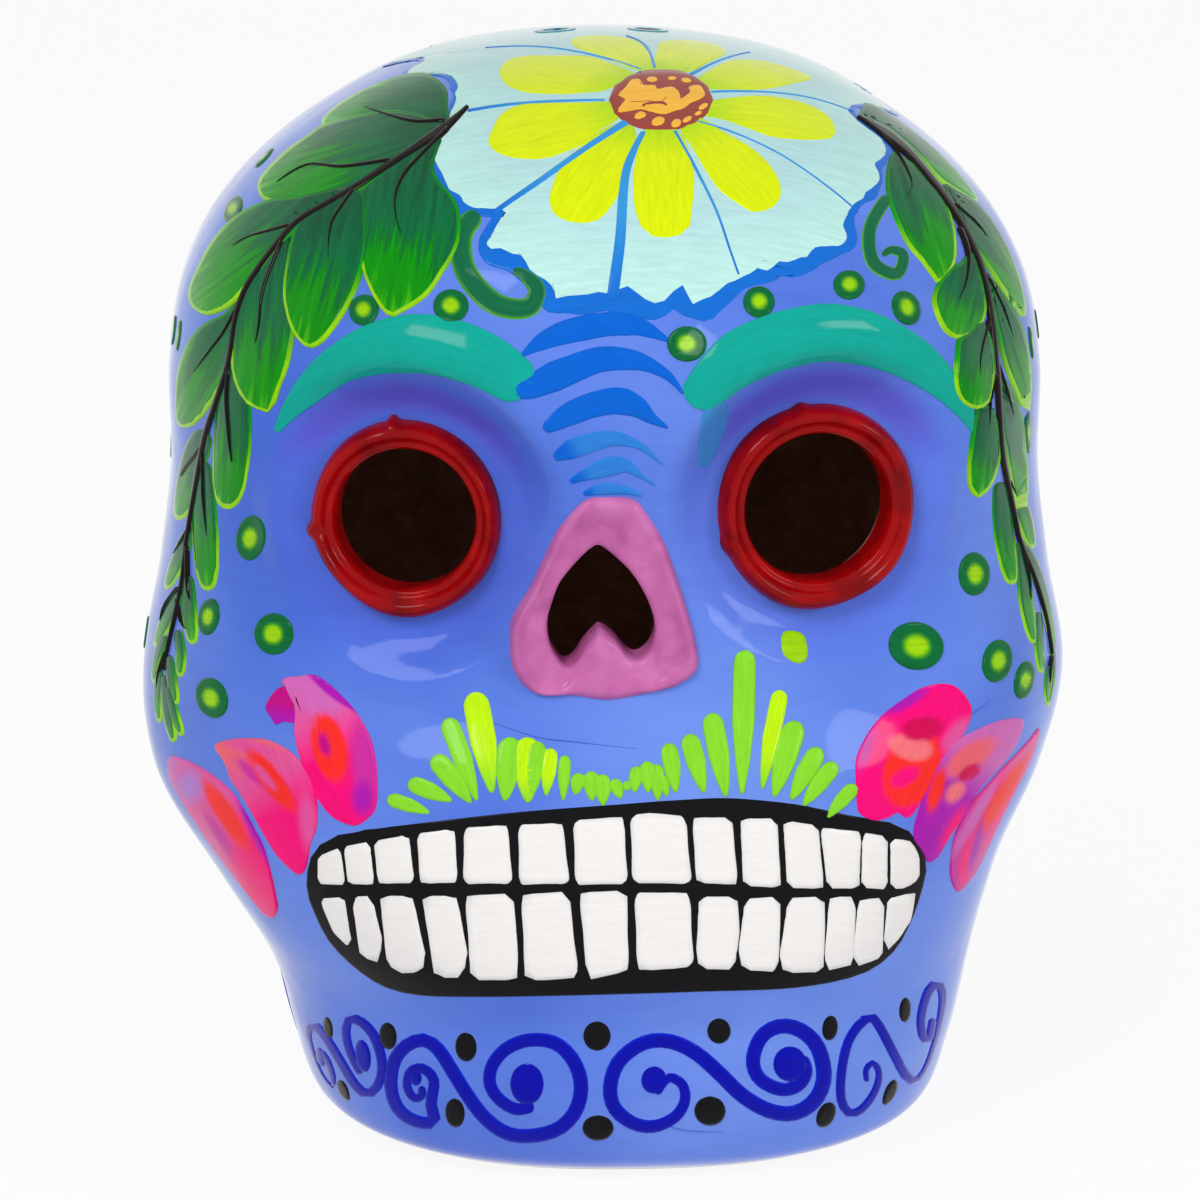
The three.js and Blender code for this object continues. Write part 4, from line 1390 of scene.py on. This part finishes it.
def paintLeaves():
    for side in ("left", "right"):
        marks = [mark for one in leaf[side + "Lobes"] for mark in lobe(*one)]
        for index, (ring, root, tip) in enumerate(leaf[side + "Big"]):
            marks += bigLobe(ring, root, tip, 1 + index % 3 * 1.1)
        paintPiece(side + "Leaves", "leaf", marks)
        veins = [stroke(leaf[side + "Spine"], leaf["spineWidths"], leaf["vein"], level=10)]
        for *path, width in leaf[side + "Veins"]:
            veins.append(stroke(path, taper(width, profiles["vein"]), leaf["vein"], level=10))
        paintPiece(side + "Veins", "line", veins)
    edge = (leaf["curlLight"], 0.3)
    curls = [stroke(path, taper(width, profiles["curl"]), leaf["curl"], edge=edge, level=2, fine=3)
             for *path, width in leaf["curls"]]
    paintPiece("greenCurls", "leaf", curls)
    dots = [dotMark(*one) for one in leaf["dots"]]
    paintPiece("greenDots", "leaf", dots + [patch(leaf["dab"], leaf["dotGreens"][0], level=2)])


# Brow bands and the blue arcs on the bridge of the nose

brow = {
    "green": colour(8, 168, 152), "bridge": colour(0, 100, 212), "paleBridge": colour(46, 128, 216),
    # the colour of a painted highlight beside the bridge
    "bridgeHighlight": colour(62, 134, 206),
    "left": [
        [(276, 432), 6], [(287, 415), 18], [(300, 399), 29], [(317, 382), 36], [(337, 366), 41],
        [(359, 355), 49], [(385, 347), 56], [(418, 344), 59], [(443, 347), 59], [(468, 354), 58],
        [(490, 364), 55], [(510, 377), 50], [(529, 391), 42],
    ],
    "right": [
        [(689, 403), 32], [(706, 388), 47], [(735, 362), 56], [(762, 348), 58], [(790, 339), 58],
        [(826, 333), 58], [(860, 337), 56], [(890, 347), 50], [(918, 362), 44], [(944, 384), 34],
        [(962, 406), 24], [(974, 431), 7],
    ],
    # each band: place and width, from left to right
    "arcs": [
        [(521, 356, 4), (540, 343, 17), (560, 334, 24), (584, 328, 26), (610, 324, 25), (633, 325, 24),
         (650, 331, 15), (669, 341, 4)],
        [(515, 392, 16), (530, 388, 25), (549, 379, 31), (570, 370, 29), (598, 360, 27), (623, 359, 25),
         (644, 363, 21), (664, 373, 14), (675, 383, 9), (683, 394, 3)],
        [(544, 430, 10), (553, 424, 20), (566, 416, 25), (584, 408, 26), (601, 403, 27), (619, 401, 28),
         (637, 407, 21), (651, 418, 11), (668, 428, 3)],
    ],
    "paleArcs": [
        [(554, 458, 8), (570, 450, 20), (590, 443, 21), (607, 439, 18), (623, 440, 15), (640, 446, 9),
         (651, 454, 6), (663, 465, 2)],
        [(570, 482, 6), (580, 477, 12), (595, 471, 19), (612, 466, 20), (626, 466, 12), (640, 475, 5),
         (656, 486, 2)],
        [(583, 494, 5), (598, 490, 11), (612, 489, 12), (628, 491, 8), (642, 496, 3)],
    ],
    # a painted highlight: a greener blue stroke beside the bridge, under the inner end of the right brow band
    "bridgeHighlights": [[(720, 396), (712, 430), (702, 468), 32]],
}


def paintBrows():
    bands = [stroke(path, evenStops(widths), brow["green"], level=2, fine=3, ends=0.35, via="brows")
             for path, widths in (zip(*brow[side]) for side in ("left", "right"))]
    paintPiece("browBands", "flower", bands)
    arcs = []
    pale = [(0, brow["bridge"]), (0.12, brow["bridge"]), (0.24, brow["paleBridge"]), (1, brow["paleBridge"])]
    for name, tint in (("arcs", brow["bridge"]), ("paleArcs", pale)):
        for places in brow[name]:
            path, widths = [place[:2] for place in places], [place[2] for place in places]
            arcs.append(stroke(path, evenStops(widths), tint, level=2, ends=0.4, fine=2))
    # the painted highlight beside the bridge
    for *path, width in brow["bridgeHighlights"]:
        arcs.append(stroke(path, taper(width, profiles["bridgeHighlight"]), brow["bridgeHighlight"], level=1, ends=1))
    paintPiece("bridgeArcs", "flower", arcs)


# The mouth: black ground, painted teeth and the grass above it

mouth = {
    "black": colour(14, 12, 16), "tooth": colour(243, 240, 236), "toothEdge": colour(222, 222, 226),
    "grass": colour(138, 220, 46), "grassTip": colour(192, 242, 14),
    "outline": [(309, 862), (306, 885), (311, 906), (332, 946), (374, 982), (416, 995), (479, 997),
        (560, 996), (640, 994), (698, 992), (795, 988), (860, 975), (893, 953), (910, 925), (921, 895),
        (927, 862), (912, 834), (893, 823), (849, 815), (795, 804), (730, 798), (675, 800), (620, 804),
        (517, 812), (420, 823), (345, 833), (318, 846)],
    "upper": [
        [(319, 857), (340, 848), (345, 884), (319, 883)], [(345, 847), (369, 842), (374, 884), (349, 883)],
        [(375, 842), (408, 835), (414, 882), (379, 883)], [(418, 834), (454, 829), (457, 882), (421, 883)],
        [(465, 828), (507, 825), (512, 883), (464, 883)], [(519, 825), (562, 823), (569, 883), (520, 884)],
        [(574, 821), (623, 817), (627, 883), (576, 884)],
        [(631, 816), (651, 813), (685, 817), (691, 883), (633, 882)],
        [(693, 818), (731, 818), (737, 884), (697, 882)], [(741, 819), (776, 819), (780, 887), (744, 885)],
        [(784, 821), (817, 826), (823, 888), (788, 887)], [(821, 828), (860, 832), (858, 888), (828, 888)],
        [(863, 833), (886, 837), (886, 889), (862, 887)],
        [(891, 839), (910, 841), (918, 856), (918, 878), (904, 888), (891, 888)],
    ],
    "lower": [
        [(321, 899), (344, 897), (352, 948), (334, 931)],
        [(353, 897), (371, 896), (382, 940), (378, 963), (361, 954)],
        [(381, 896), (412, 896), (425, 955), (422, 971), (401, 973), (388, 963)],
        [(423, 896), (456, 896), (467, 953), (462, 977), (436, 977)],
        [(466, 896), (512, 894), (517, 942), (517, 979), (472, 979)],
        [(522, 895), (568, 892), (578, 976), (551, 979), (526, 979)],
        [(580, 893), (626, 891), (628, 970), (588, 979)],
        [(635, 893), (689, 893), (693, 965), (674, 968), (638, 970)],
        [(700, 897), (736, 897), (739, 932), (733, 969), (700, 968), (697, 950)],
        [(746, 899), (779, 897), (779, 932), (777, 971), (743, 969), (739, 949)],
        [(789, 898), (823, 897), (824, 932), (822, 971), (784, 972), (780, 956)],
        [(830, 897), (855, 897), (852, 964), (824, 970)],
        [(859, 900), (883, 898), (881, 956), (856, 966), (853, 956)],
        [(888, 899), (915, 892), (909, 921), (888, 951), (884, 943)],
    ],
    "middle": (615, 900), "corner": 3.5, "grow": 1.5, "bladeBend": 0.53,
    "grassBlades": [(387, 798, 430, 813, 15, 0), (408, 782, 452, 801, 18, 0), (433, 756, 471, 803, 21, 0),
        (447, 718, 477, 801, 20, 0), (474, 692, 492, 793, 27, 1), (511, 737, 505, 801, 26, 0),
        (527, 737, 528, 803, 28, 1), (538, 741, 531, 797, 20, 0), (551, 748, 546, 796, 16, 1),
        (565, 755, 563, 801, 13, 0), (580, 773, 575, 795, 15, 0), (591, 771, 592, 801, 17, 0),
        (602, 774, 603, 806, 17, 0), (613, 779, 621, 799, 14, 0), (629, 781, 625, 791, 10, 0),
        (637, 766, 634, 793, 14, 0), (647, 761, 648, 793, 16, 0), (656, 764, 658, 801, 15, 0),
        (662, 775, 667, 797, 11, 0), (668, 743, 676, 793, 18, 0), (688, 734, 704, 793, 20, 0),
        (711, 713, 726, 797, 22, 0), (745, 650, 742, 794, 23, 0), (781, 690, 762, 789, 18, 1),
        (797, 721, 774, 797, 24, 0), (820, 748, 791, 800, 20, 0), (836, 763, 803, 806, 18, 0),
        (856, 785, 827, 818, 15, 0)],
}


def paintMouth():
    ground = patch(mouth["outline"], mouth["black"], level=1, middle=mouth["middle"], fine=2)
    paintPiece("mouthGround", "line", [ground])
    tints = [(0, mouth["tooth"]), (0.92, mouth["tooth"]), (1, mouth["toothEdge"])]
    for row in ("upper", "lower"):
        rings = [offsetRing(roundCorners(ring, mouth["corner"]), mouth["grow"]) for ring in mouth[row]]
        paintPiece(row + "Teeth", "tooth", [patch(ring, tints, level=3, angular=True) for ring in rings])
    blades = []
    for x, y, footX, footY, width, bright in mouth["grassBlades"]:
        middle = (x + (footX - x) * mouth["bladeBend"], (y + footY) / 2)
        tint = mouth["grassTip" if bright else "grass"]
        blades.append(stroke([(footX, footY), middle, (x, y)], taper(width, profiles["blade"]),
                             [(0, mouth["grass"]), (0.4, tint), (1, tint)], level=2))
    paintPiece("grassBlades", "flower", blades)


# Cheek petals

petal = {
    "hot": colour(252, 0, 122), "rose": colour(230, 84, 158), "mauve": colour(212, 104, 184),
    "purple": colour(176, 20, 176), "plum": colour(196, 4, 132), "orange": colour(254, 44, 38),
    "salmon": colour(242, 100, 116), "crimson": colour(212, 0, 84), "orchid": colour(206, 44, 158),
    "lilac": colour(184, 124, 208), "peach": colour(246, 116, 124),
    # each: outline, colours from top to foot, canvas, blotches (x, y, wide, tall, lean, colour, softness)
    "left": [
        [[(303, 688), (283, 687), (274, 693), (268, 702), (266, 709), (272, 718), (276, 724), (284, 721),
         # the mauve at this petal's top and its mauve blotch there are a painted highlight on the varnish;
         # its other colours are its own paint
         (297, 722), (302, 708)], ("plum", "plum", "purple"), None, []],
        [[(283, 683), (287, 678), (299, 677), (310, 675), (318, 677), (328, 684), (341, 696), (356, 713),
         (369, 736), (375, 758), (377, 784), (375, 808), (366, 819), (355, 825), (341, 821), (329, 813),
         (317, 796), (307, 776), (299, 753), (295, 731), (295, 706)], ("mauve", "rose", "hot", "hot"), None,
         [(324, 697, 22, 18, 0, "mauve", 0.5), (334, 692, 5, 34, -52, "purple", 0.3),
         (366, 762, 14, 44, -5, "orchid", 0.5), (363, 798, 10, 16, 0, "purple", 0.6),
         (330, 748, 17, 35, -14, "orange", 0.12), (325, 744, 5.5, 12, -14, "plum", 0.35)]],
        [[(216, 746), (226, 741), (243, 739), (264, 740), (280, 746), (293, 755), (306, 771), (314, 789),
         (317, 808), (316, 828), (310, 844), (306, 866), (300, 874), (293, 870), (279, 856), (266, 836),
         (253, 813), (241, 793), (231, 778), (226, 763)], ("salmon", "rose", "hot", "hot"), None,
         [(254, 748, 30, 7, 18, "rose", 0.6), (252, 772, 5, 18, -45, "orchid", 0.5),
         (273, 780, 10, 38, -37, "orange", 0.25), (266, 776, 4, 17, -40, "rose", 0.4),
         (309, 822, 8, 28, -5, "rose", 0.6)]],
        [[(171, 757), (184, 760), (197, 766), (213, 776), (230, 791), (243, 809), (254, 829), (263, 847),
         (270, 871), (275, 894), (277, 909), (273, 917), (264, 912), (249, 895), (229, 872), (211, 851),
         (196, 827), (183, 806), (172, 788), (167, 776)], ("mauve", "rose", "rose", "hot"), "rightFront",
         [(192, 786, 13, 15, 0, "lilac", 0.6), (253, 822, 5, 44, -24, "purple", 0.6),
         (228, 814, 9, 40, -33, "orange", 0.3), (224, 838, 5, 30, -33, "orchid", 0.5),
         (250, 871, 7, 26, -35, "hot", 0.6)]],
    ],
    "right": [
        [[(949, 685), (958, 689), (966, 698), (971, 708), (970, 717), (966, 729), (959, 739), (951, 749),
         (943, 761), (934, 779), (925, 793), (918, 805), (911, 815), (905, 817), (898, 812), (890, 816),
         (878, 820), (868, 818), (859, 811), (857, 795), (856, 765), (859, 752), (868, 734), (878, 721),
         (888, 711), (902, 701), (919, 690), (935, 685)], ("hot", "hot", "hot", "hot"), None,
         [(906, 701, 6, 24, 60, "purple", 0.5), (956, 735, 9, 20, 40, "rose", 0.5),
         (911, 768, 27, 41, 22, "orange", 0.1), (910, 747, 22, 13, 14, "peach", 0.22),
         (922, 729, 21, 12, -8, "crimson", 0.2), (904, 777, 16, 8, -30, "hot", 0.3),
         (866, 748, 6, 22, 18, "orchid", 0.6)]],
        [[(1023, 721), (1013, 719), (1001, 721), (987, 726), (972, 733), (960, 739), (949, 749), (940, 761),
         (931, 779), (924, 796), (918, 814), (914, 831), (915, 841), (922, 850), (928, 862), (936, 858),
         (943, 846), (951, 833), (957, 825), (965, 812), (976, 793), (990, 776), (1006, 758), (1017, 740)],
         ("mauve", "mauve", "purple", "purple"), None, [(969, 757, 30, 12, -36, "salmon", 0.3),
         (935, 790, 7, 22, 16, "orange", 0.3), (954, 792, 12, 8, -50, "peach", 0.4),
         (969, 772, 13, 7, -30, "crimson", 0.2), (951, 828, 5, 24, 28, "hot", 0.6)]],
        [[(1040, 729), (1030, 740), (1016, 755), (1001, 770), (987, 786), (972, 802), (962, 820), (954, 839),
         (951, 861), (951, 878), (957, 891), (965, 884), (975, 871), (984, 855), (993, 837), (1001, 820),
         (1014, 795), (1027, 773), (1037, 752)], ("rose", "rose", "hot", "orchid"), "leftFront",
         [(973, 817, 5, 44, 30, "mauve", 0.6), (1001, 795, 7, 46, 33, "orange", 0.35),
         (966, 859, 7, 26, 12, "hot", 0.5), (974, 846, 3.5, 26, 15, "purple", 0.6)]],
    ],
}


def paintCheeks():
    for side in ("left", "right"):
        group = []
        for ring, tints, via, spots in petal[side]:
            ring = np.array(ring, float)
            ends = [tuple(ring[ring[:, 1].argmin()]), tuple(ring[ring[:, 1].argmax()])]
            stops = evenStops([petal[tint] for tint in tints], 0.05, 0.8)
            blotches = [(oval((x, y), wide, tall, lean, 24), petal[tint], soft)
                        for x, y, wide, tall, lean, tint, soft in spots]
            group.append(patch(offsetRing(ring, 1.0), stops, level=2 + len(group), via=via, grain=ends,
                               fine=3.2, blotches=blotches))
        paintPiece(side + "CheekPetals", "petal", group)


# Jaw scrolls and black dots

jaw = {
    "scroll": colour(0, 6, 174), "light": colour(4, 40, 206),
    "scrolls": [
        [(331, 1093), (318, 1078), (309, 1050), (307, 1033), (315, 1026), (326, 1038), (341, 1062),
         (355, 1085), (368, 1094), (379, 1083), (382, 1062), (374, 1036), (360, 1021), (349, 1020),
         (346, 1034), (351, 1054), (361, 1074), 10],
        [(331, 1090), (333, 1078), (327, 1060), (320, 1050), 7],
        [(421, 1086), (422, 1095), (414, 1098), (407, 1086), (411, 1071), (424, 1069), (434, 1081),
         (431, 1104), (434, 1121), (417, 1122), (399, 1110), (391, 1088), (394, 1062), (406, 1046),
         (423, 1040), (437, 1048), (450, 1067), (466, 1093), (484, 1117), (506, 1133), (530, 1136),
         (558, 1129), (576, 1110), (581, 1084), (573, 1060), (555, 1043), (529, 1040), (506, 1049),
         (492, 1066), (490, 1084), (499, 1099), (516, 1109), (534, 1106), 14],
        [(656, 1094), (668, 1078), (682, 1084), (685, 1100), (676, 1116), (656, 1126), (635, 1124),
         (616, 1110), (610, 1090), (616, 1066), (631, 1050), (650, 1041), (673, 1042), (696, 1053),
         (719, 1073), (743, 1096), (770, 1111), (795, 1113), (815, 1100), (824, 1077), (818, 1048),
         (802, 1031), (781, 1026), (762, 1036), (753, 1059), (759, 1078), (779, 1089), (797, 1086),
         (806, 1072), (801, 1056), 15],
        [(867, 1082), (866, 1070), (873, 1063), (879, 1073), (875, 1091), (862, 1109), (849, 1113),
         (841, 1098), (842, 1068), (849, 1040), (863, 1021), (873, 1018), (882, 1031), (894, 1054),
         (906, 1076), (917, 1083), (928, 1072), (937, 1045), (942, 1017), (943, 994), (937, 984), (928, 992),
         (921, 1017), (923, 1037), (929, 1038), (933, 1018), 10],
    ],
    "cores": [(320, 1058, 5, 11, -8), (363, 1056, 8, 17, -8), (527, 1084, 17, 21, 0), (654, 1080, 13, 14, 10),
        (790, 1064, 17, 18, 0), (416, 1078, 6, 8, 0)],
    "dots": [(328, 1028, 5, 12, -10), (388, 1036, 9, 14, -6), (466, 1047, 11, 15, -4),
        (343, 1092, 6, 13, -16), (455, 1113, 10, 15, -4), (597, 1036, 14, 15, 0), (598, 1128, 16, 13, 0),
        (719, 1031, 12, 13, 0), (830, 1028, 8, 13, 8), (905, 1010, 6, 13, 4), (710, 1111, 16, 15, 0),
        (826, 1115, 9, 14, 26), (890, 1093, 6, 15, 22)],
}


def scrollMark(path, width, canvas="photo"):
    widths, edge = taper(width, profiles["scroll"]), (jaw["light"], 0.35)
    return stroke(path, widths, jaw["scroll"], edge=edge, canvas=canvas, level=2)


def paintJaw():
    marks = [scrollMark(path, width) for *path, width in jaw["scrolls"]]
    for x, y, wide, tall, lean in jaw["cores"]:
        marks.append(patch(oval((x, y), wide, tall, lean), jaw["scroll"], level=2))
    paintPiece("jawScrolls", "line", marks)
    rings = [oval((x, y), wide, tall, lean, 8) for x, y, wide, tall, lean in jaw["dots"]]
    paintPiece("jawDots", "line", [patch(ring, mouth["black"], level=2) for ring in rings])


# Round the sides and the back: the band of scrolls goes on, with leaf sprays, dots and a flower

around = {
    # one running scroll about its middle: across, up
    "scroll": [(-6.0, -1.6), (-4.8, 0.0), (-3.4, -0.6), (-3.1, -2.2), (-4.0, -3.8), (-6.0, -4.8),
        (-8.1, -4.6), (-10.0, -3.2), (-10.6, -1.2), (-10.0, 1.2), (-8.5, 2.8), (-6.6, 3.7), (-4.3, 3.6),
        (-2.0, 2.5), (0.3, 0.5), (2.7, -1.8), (5.4, -3.3), (7.9, -3.5), (9.9, -2.2), (10.8, 0.1), (10.2, 3.0),
        (8.6, 4.7), (6.5, 5.2), (4.6, 4.2), (3.7, 1.9), (4.3, 0.0), (6.3, -1.1), (8.1, -0.8), (9.0, 0.6),
        (8.5, 2.2)],
    "starts": [76, 102.5, 129, 155.5, 182, 208], "stretch": 1.16, "high": 10.2, "width": 1.35,
    "scrollDots": [(-14, 15.4), (-14, 4.6), (1.0, 15.4), (0.5, 4.6)], "dot": 1.0,
    "spine": [(8, 36), (20, 26), (28, 10), (31, -8), (30, -26)], "lobes": 8, "big": 12.0, "small": 4.0,
    "dots": [(62, 84, 1.3, 1.6), (72, 70, 1.1, 1.5), (70, 50, 1.4, 1.8), (84, 42, 1.2, 1.4),
        (64, 32, 1.2, 1.5), (82, 60, 1.0, 1.4), (78, 26, 1.1, 1.3), (92, 30, 1.2, 1.4), (124, 30, 1.2, 1.4),
        (132, 84, 1.2, 1.3), (141, 27, 1.4, 1.6), (120, 92, 1.1, 1.2)],
    "rootLong": 0.45, "rootTurn": 48, "tipLong": 0.6, "tipTurn": 22, "lobeWide": 0.44, "disc": (15.5, 14.5),
    "outerEdge": (0.4, 0, 0.4, 0, 3.0, (9, 19, 31)), "innerEdge": (-0.3, 0, 0.3, 0, 7.0, (23, 41, 59)),
    "petalWidths": [(0, 1.8), (0.5, 4.4), (0.8, 4.6), (1, 3.2)], "centre": (3.6, 3.4), "eye": (1.4, 1.2),
    "seedRing": 2.5, "seed": (0.55, 0.45), "flower": (0, 2), "petals": 9, "petal": 10.5, "seeds": 9,
}


def turned(ahead, degrees):
    c, s = math.cos(math.radians(degrees)), math.sin(math.radians(degrees))
    return np.array([ahead[0] * c - ahead[1] * s, ahead[0] * s + ahead[1] * c])


def spray(spine, side):
    path, _ = smoothPath([(x * side, y) for x, y in spine], 100)
    heading = unitRows(np.gradient(path, axis=0))
    leaves, veins = [], []
    for index in range(around["lobes"]):
        share = (index + 0.25) / around["lobes"]
        spot, ahead = path[int(share * 100)], heading[int(share * 100)]
        size = around["big"] + (around["small"] - around["big"]) * share
        for turn in (-1, 1):
            bend = spot + size * around["rootLong"] * turned(ahead, turn * around["rootTurn"])
            tip = bend + size * around["tipLong"] * turned(ahead, turn * around["tipTurn"])
            leaves += lobe(spot, bend, tip, size * around["lobeWide"], canvas="back")
            vein = [tuple(spot), tuple(bend), tuple((bend + tip) / 2)]
            veins.append((vein, [(0, 0.5), (0.6, 0.4), (1, 0.15)]))
    veins.append(([tuple(point) for point in path[::10]], [(0, 0.9), (0.5, 0.7), (1, 0.25)]))
    return leaves, [stroke(vein, widths, leaf["vein"], canvas="back", level=10) for vein, widths in veins]


def paintBackBand():
    stretch, scrolls, dots = around["stretch"], [], []
    for start in around["starts"]:
        path = [(start + x * stretch, around["high"] + y) for x, y in around["scroll"]]
        scrolls.append(scrollMark(path, around["width"], "round"))
        for aside, high in around["scrollDots"]:
            ring = oval((start + aside, high), around["dot"] * stretch, around["dot"])
            dots.append(patch(ring, mouth["black"], canvas="round", level=2))
    paintPiece("backScrolls", "line", scrolls)
    paintPiece("backScrollDots", "line", dots)


def paintBackLeaves():
    for side, name in ((-1, "backLeft"), (1, "backRight")):
        leaves, veins = spray(around["spine"], side)
        paintPiece(name + "Leaves", "leaf", leaves)
        paintPiece(name + "Veins", "line", veins)
    girth = 2 * math.pi * roundRadius
    paintPiece("backDots", "leaf", [dotMark(place, y, wide * around["stretch"], tall, 0, canvas="round")
                                    for x, y, wide, tall in around["dots"] for place in (x, girth - x)])


def paintBackFlower():
    middle = np.array(around["flower"], float)
    ring = np.array(oval(middle, *around["disc"], 0, 240))
    onBack = {"canvas": "back", "angular": True}
    outer, inner = (raggedRing(ring, around[key]) for key in ("outerEdge", "innerEdge"))
    marks = [patch(outer, flower["line"], **onBack), patch(inner, flower["disc"], level=2, **onBack)]
    tints = [(0, flower["lime"]), *flower["lemonStops"]]
    for index in range(around["petals"]):
        turn = 360 * (index + 0.3) / around["petals"]
        out, gap = turned((1, 0), turn), turned((1, 0), turn + 180 / around["petals"])
        reach = around["petal"] * (1 + 0.05 * math.sin(index * 2.4))
        arms = (([out * part for part in (2.0, reach * 0.6, reach)], around["petalWidths"], tints),
                ([gap * part for part in (3.0, 9.0, 14.3)], [(0, 0.5), (1, 0.8)], flower["paleLine"]))
        for path, widths, tint in arms:
            marks.append(stroke([tuple(middle + arm) for arm in path], widths, tint, canvas="back", level=3))
    marks.append(patch(oval(middle, *around["centre"], 0, 12), flower["brown"], canvas="back", level=5))
    spokes = [turned((1, 0), 360 * index / around["seeds"]) for index in range(around["seeds"])]
    seeds = [oval(middle + around["seedRing"] * spoke, *around["seed"], 0, 8) for spoke in spokes]
    for seed in [*seeds, oval(middle, *around["eye"], 0, 8)]:
        marks.append(patch(seed, flower["orange"], canvas="back", level=6))
    paintPiece("backFlower", "flower", marks)


cracks = {
    "colour": colour(84, 108, 206), "width": 1.4,
    "paths": [
        [(486, 720), (536, 737), (583, 743), (639, 749)], [(991, 699), (975, 712), (962, 718), (950, 722)],
        [(183, 793), (194, 803), (206, 793)], [(650, 1120), (684, 1130), (724, 1132)],
    ],
}


def paintCracks():
    width = taper(cracks["width"], profiles["crack"])
    marks = [stroke(path, width, cracks["colour"], level=5) for path in cracks["paths"]]
    paintPiece("varnishCracks", "line", marks)


for paintPart in (paintFlower, paintLeaves, paintBrows, paintMouth, paintCheeks, paintJaw, paintBackBand,
                  paintBackLeaves, paintBackFlower, paintCracks):
    paintPart()


# The coil of clay pressed over the seam inside

seamCoil = {
    "steps": 160, "sides": 24, "start": 236.0, "end": -56.0, "half": 4.3, "thick": 1.15, "deep": 0.75,
    "dents": (19, 31, 47), "unevenWidth": (0.06, 71), "sway": [(0.35, 53, 0), (0.25, 97, 1)],
}


def makeSeamCoil():
    bm = bmesh.new()
    bmesh.ops.create_cone(bm, cap_ends=True, cap_tris=False, segments=seamCoil["sides"], radius1=1, radius2=1,
                          depth=2)
    tall = [edge for edge in bm.edges if abs(edge.verts[0].co.z - edge.verts[1].co.z) > 1]
    bmesh.ops.subdivide_edges(bm, edges=tall, cuts=seamCoil["steps"] - 1)
    piece = objectFrom(bm, "seamCoil", [clays[1]])
    p = meshPoints(piece.data)
    share = (p[:, 2] + 1) / 2
    turn = np.radians(seamCoil["start"] + share * (seamCoil["end"] - seamCoil["start"]))
    outward = np.stack([np.cos(turn), np.zeros(len(turn)), np.sin(turn)], -1)
    places, normals = castOnSkin(waist + outward * outside["round"], -outward)
    normals = unitRows(normals * [1, 0, 1])
    waves = sum(np.sin(dent * share * 6 + dent) for dent in seamCoil["dents"]) / len(seamCoil["dents"])
    thick = seamCoil["thick"] * (1 + 0.3 * waves) * p[:, 0]
    deep = form["wall"] + seamCoil["deep"] + np.where(thick > 0, thick * 0.5, thick)
    points = places - normals * column(deep)
    uneven, pace = seamCoil["unevenWidth"]
    points[:, 1] = seamCoil["half"] * (1 + uneven * np.sin(share * pace)) * p[:, 1]
    points[:, 1] += sum(size * np.sin(share * wave + start) for size, wave, start in seamCoil["sway"])
    shapeTo(piece, points)
    fixNormals(piece)
    for across in (-1, 1):
        cutWith(piece, ventTool(across))
    finishSmooth(piece, 60)
    return keepPiece(piece, "raw_clay", "inner_seam_coil")


makeSeamCoil()


# Floor, backdrop and light

stage = {"floorSize": 6.0, "floor": grey(0.95), "floorRough": 0.9, "floorGlow": 0.92, "world": 0.37}
lamps = {  # place, what it points at, size and power
    "keyLight": ((-0.45, -0.75, 0.75), (0, 0, 0.06), 0.4, 5.6),
    "fillLight": ((0.75, -0.6, 0.45), (0, 0, 0.06), 0.3, 3.0),
}


def seenRays(tree):  # 1 for what the picture shows, also in reflections and through glass
    path = tree.nodes.new("ShaderNodeLightPath").outputs
    seen = mathOn(tree, "MAXIMUM", path["Is Camera Ray"], path["Is Glossy Ray"])
    return mathOn(tree, "MAXIMUM", seen, path["Is Transmission Ray"])


def showMixed(tree, factor, lit, shown, output):
    mix = addNode(tree, "ShaderNodeMixShader", factor, lit, shown)
    put(tree, tree.nodes[output].inputs["Surface"], mix.outputs[0])


def makeStage():
    bm = bmesh.new()
    bmesh.ops.create_grid(bm, x_segments=2, y_segments=2, size=stage["floorSize"] / 2)
    material, tree, shader = newMaterial("paleFloor")
    put(tree, shader.inputs["Roughness"], stage["floorRough"])
    put(tree, shader.inputs["Base Color"], stage["floor"])
    floor = objectFrom(bm, "floor", [material])
    floor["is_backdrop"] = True
    glow = addNode(tree, "ShaderNodeEmission", Strength=1.0)
    share = mathOn(tree, "MULTIPLY", seenRays(tree), stage["floorGlow"])
    showMixed(tree, share, shader.outputs[0], glow.outputs[0], "Material Output")

    world = bpy.data.worlds.new("studio")
    bpy.context.scene.world = world
    world.use_nodes = True
    tree = world.node_tree
    lit = tree.nodes["Background"]
    put(tree, lit.inputs["Color"], grey(1))
    put(tree, lit.inputs["Strength"], stage["world"])
    white = addNode(tree, "ShaderNodeBackground", grey(1), Strength=1.0)
    showMixed(tree, seenRays(tree), lit.outputs[0], white.outputs[0], "World Output")


def addSoftbox(name, place, target, size, power):
    data = bpy.data.lights.new(name, "AREA")
    data.shape, data.size, data.size_y, data.energy = "RECTANGLE", size, size, power
    lamp = bpy.data.objects.new(name, data)
    bpy.context.collection.objects.link(lamp)
    lamp.location = place
    lamp.rotation_euler = (Vector(target) - Vector(place)).to_track_quat("-Z", "Y").to_euler()


makeStage()
for name, settings in lamps.items():
    addSoftbox(name, *settings)
bpy.context.scene.view_settings.view_transform = "Standard"

for piece, box in (("cad", cadBox), ("visual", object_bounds())):
    print(piece, [[round(float(c), 4) for c in corner] for corner in box])
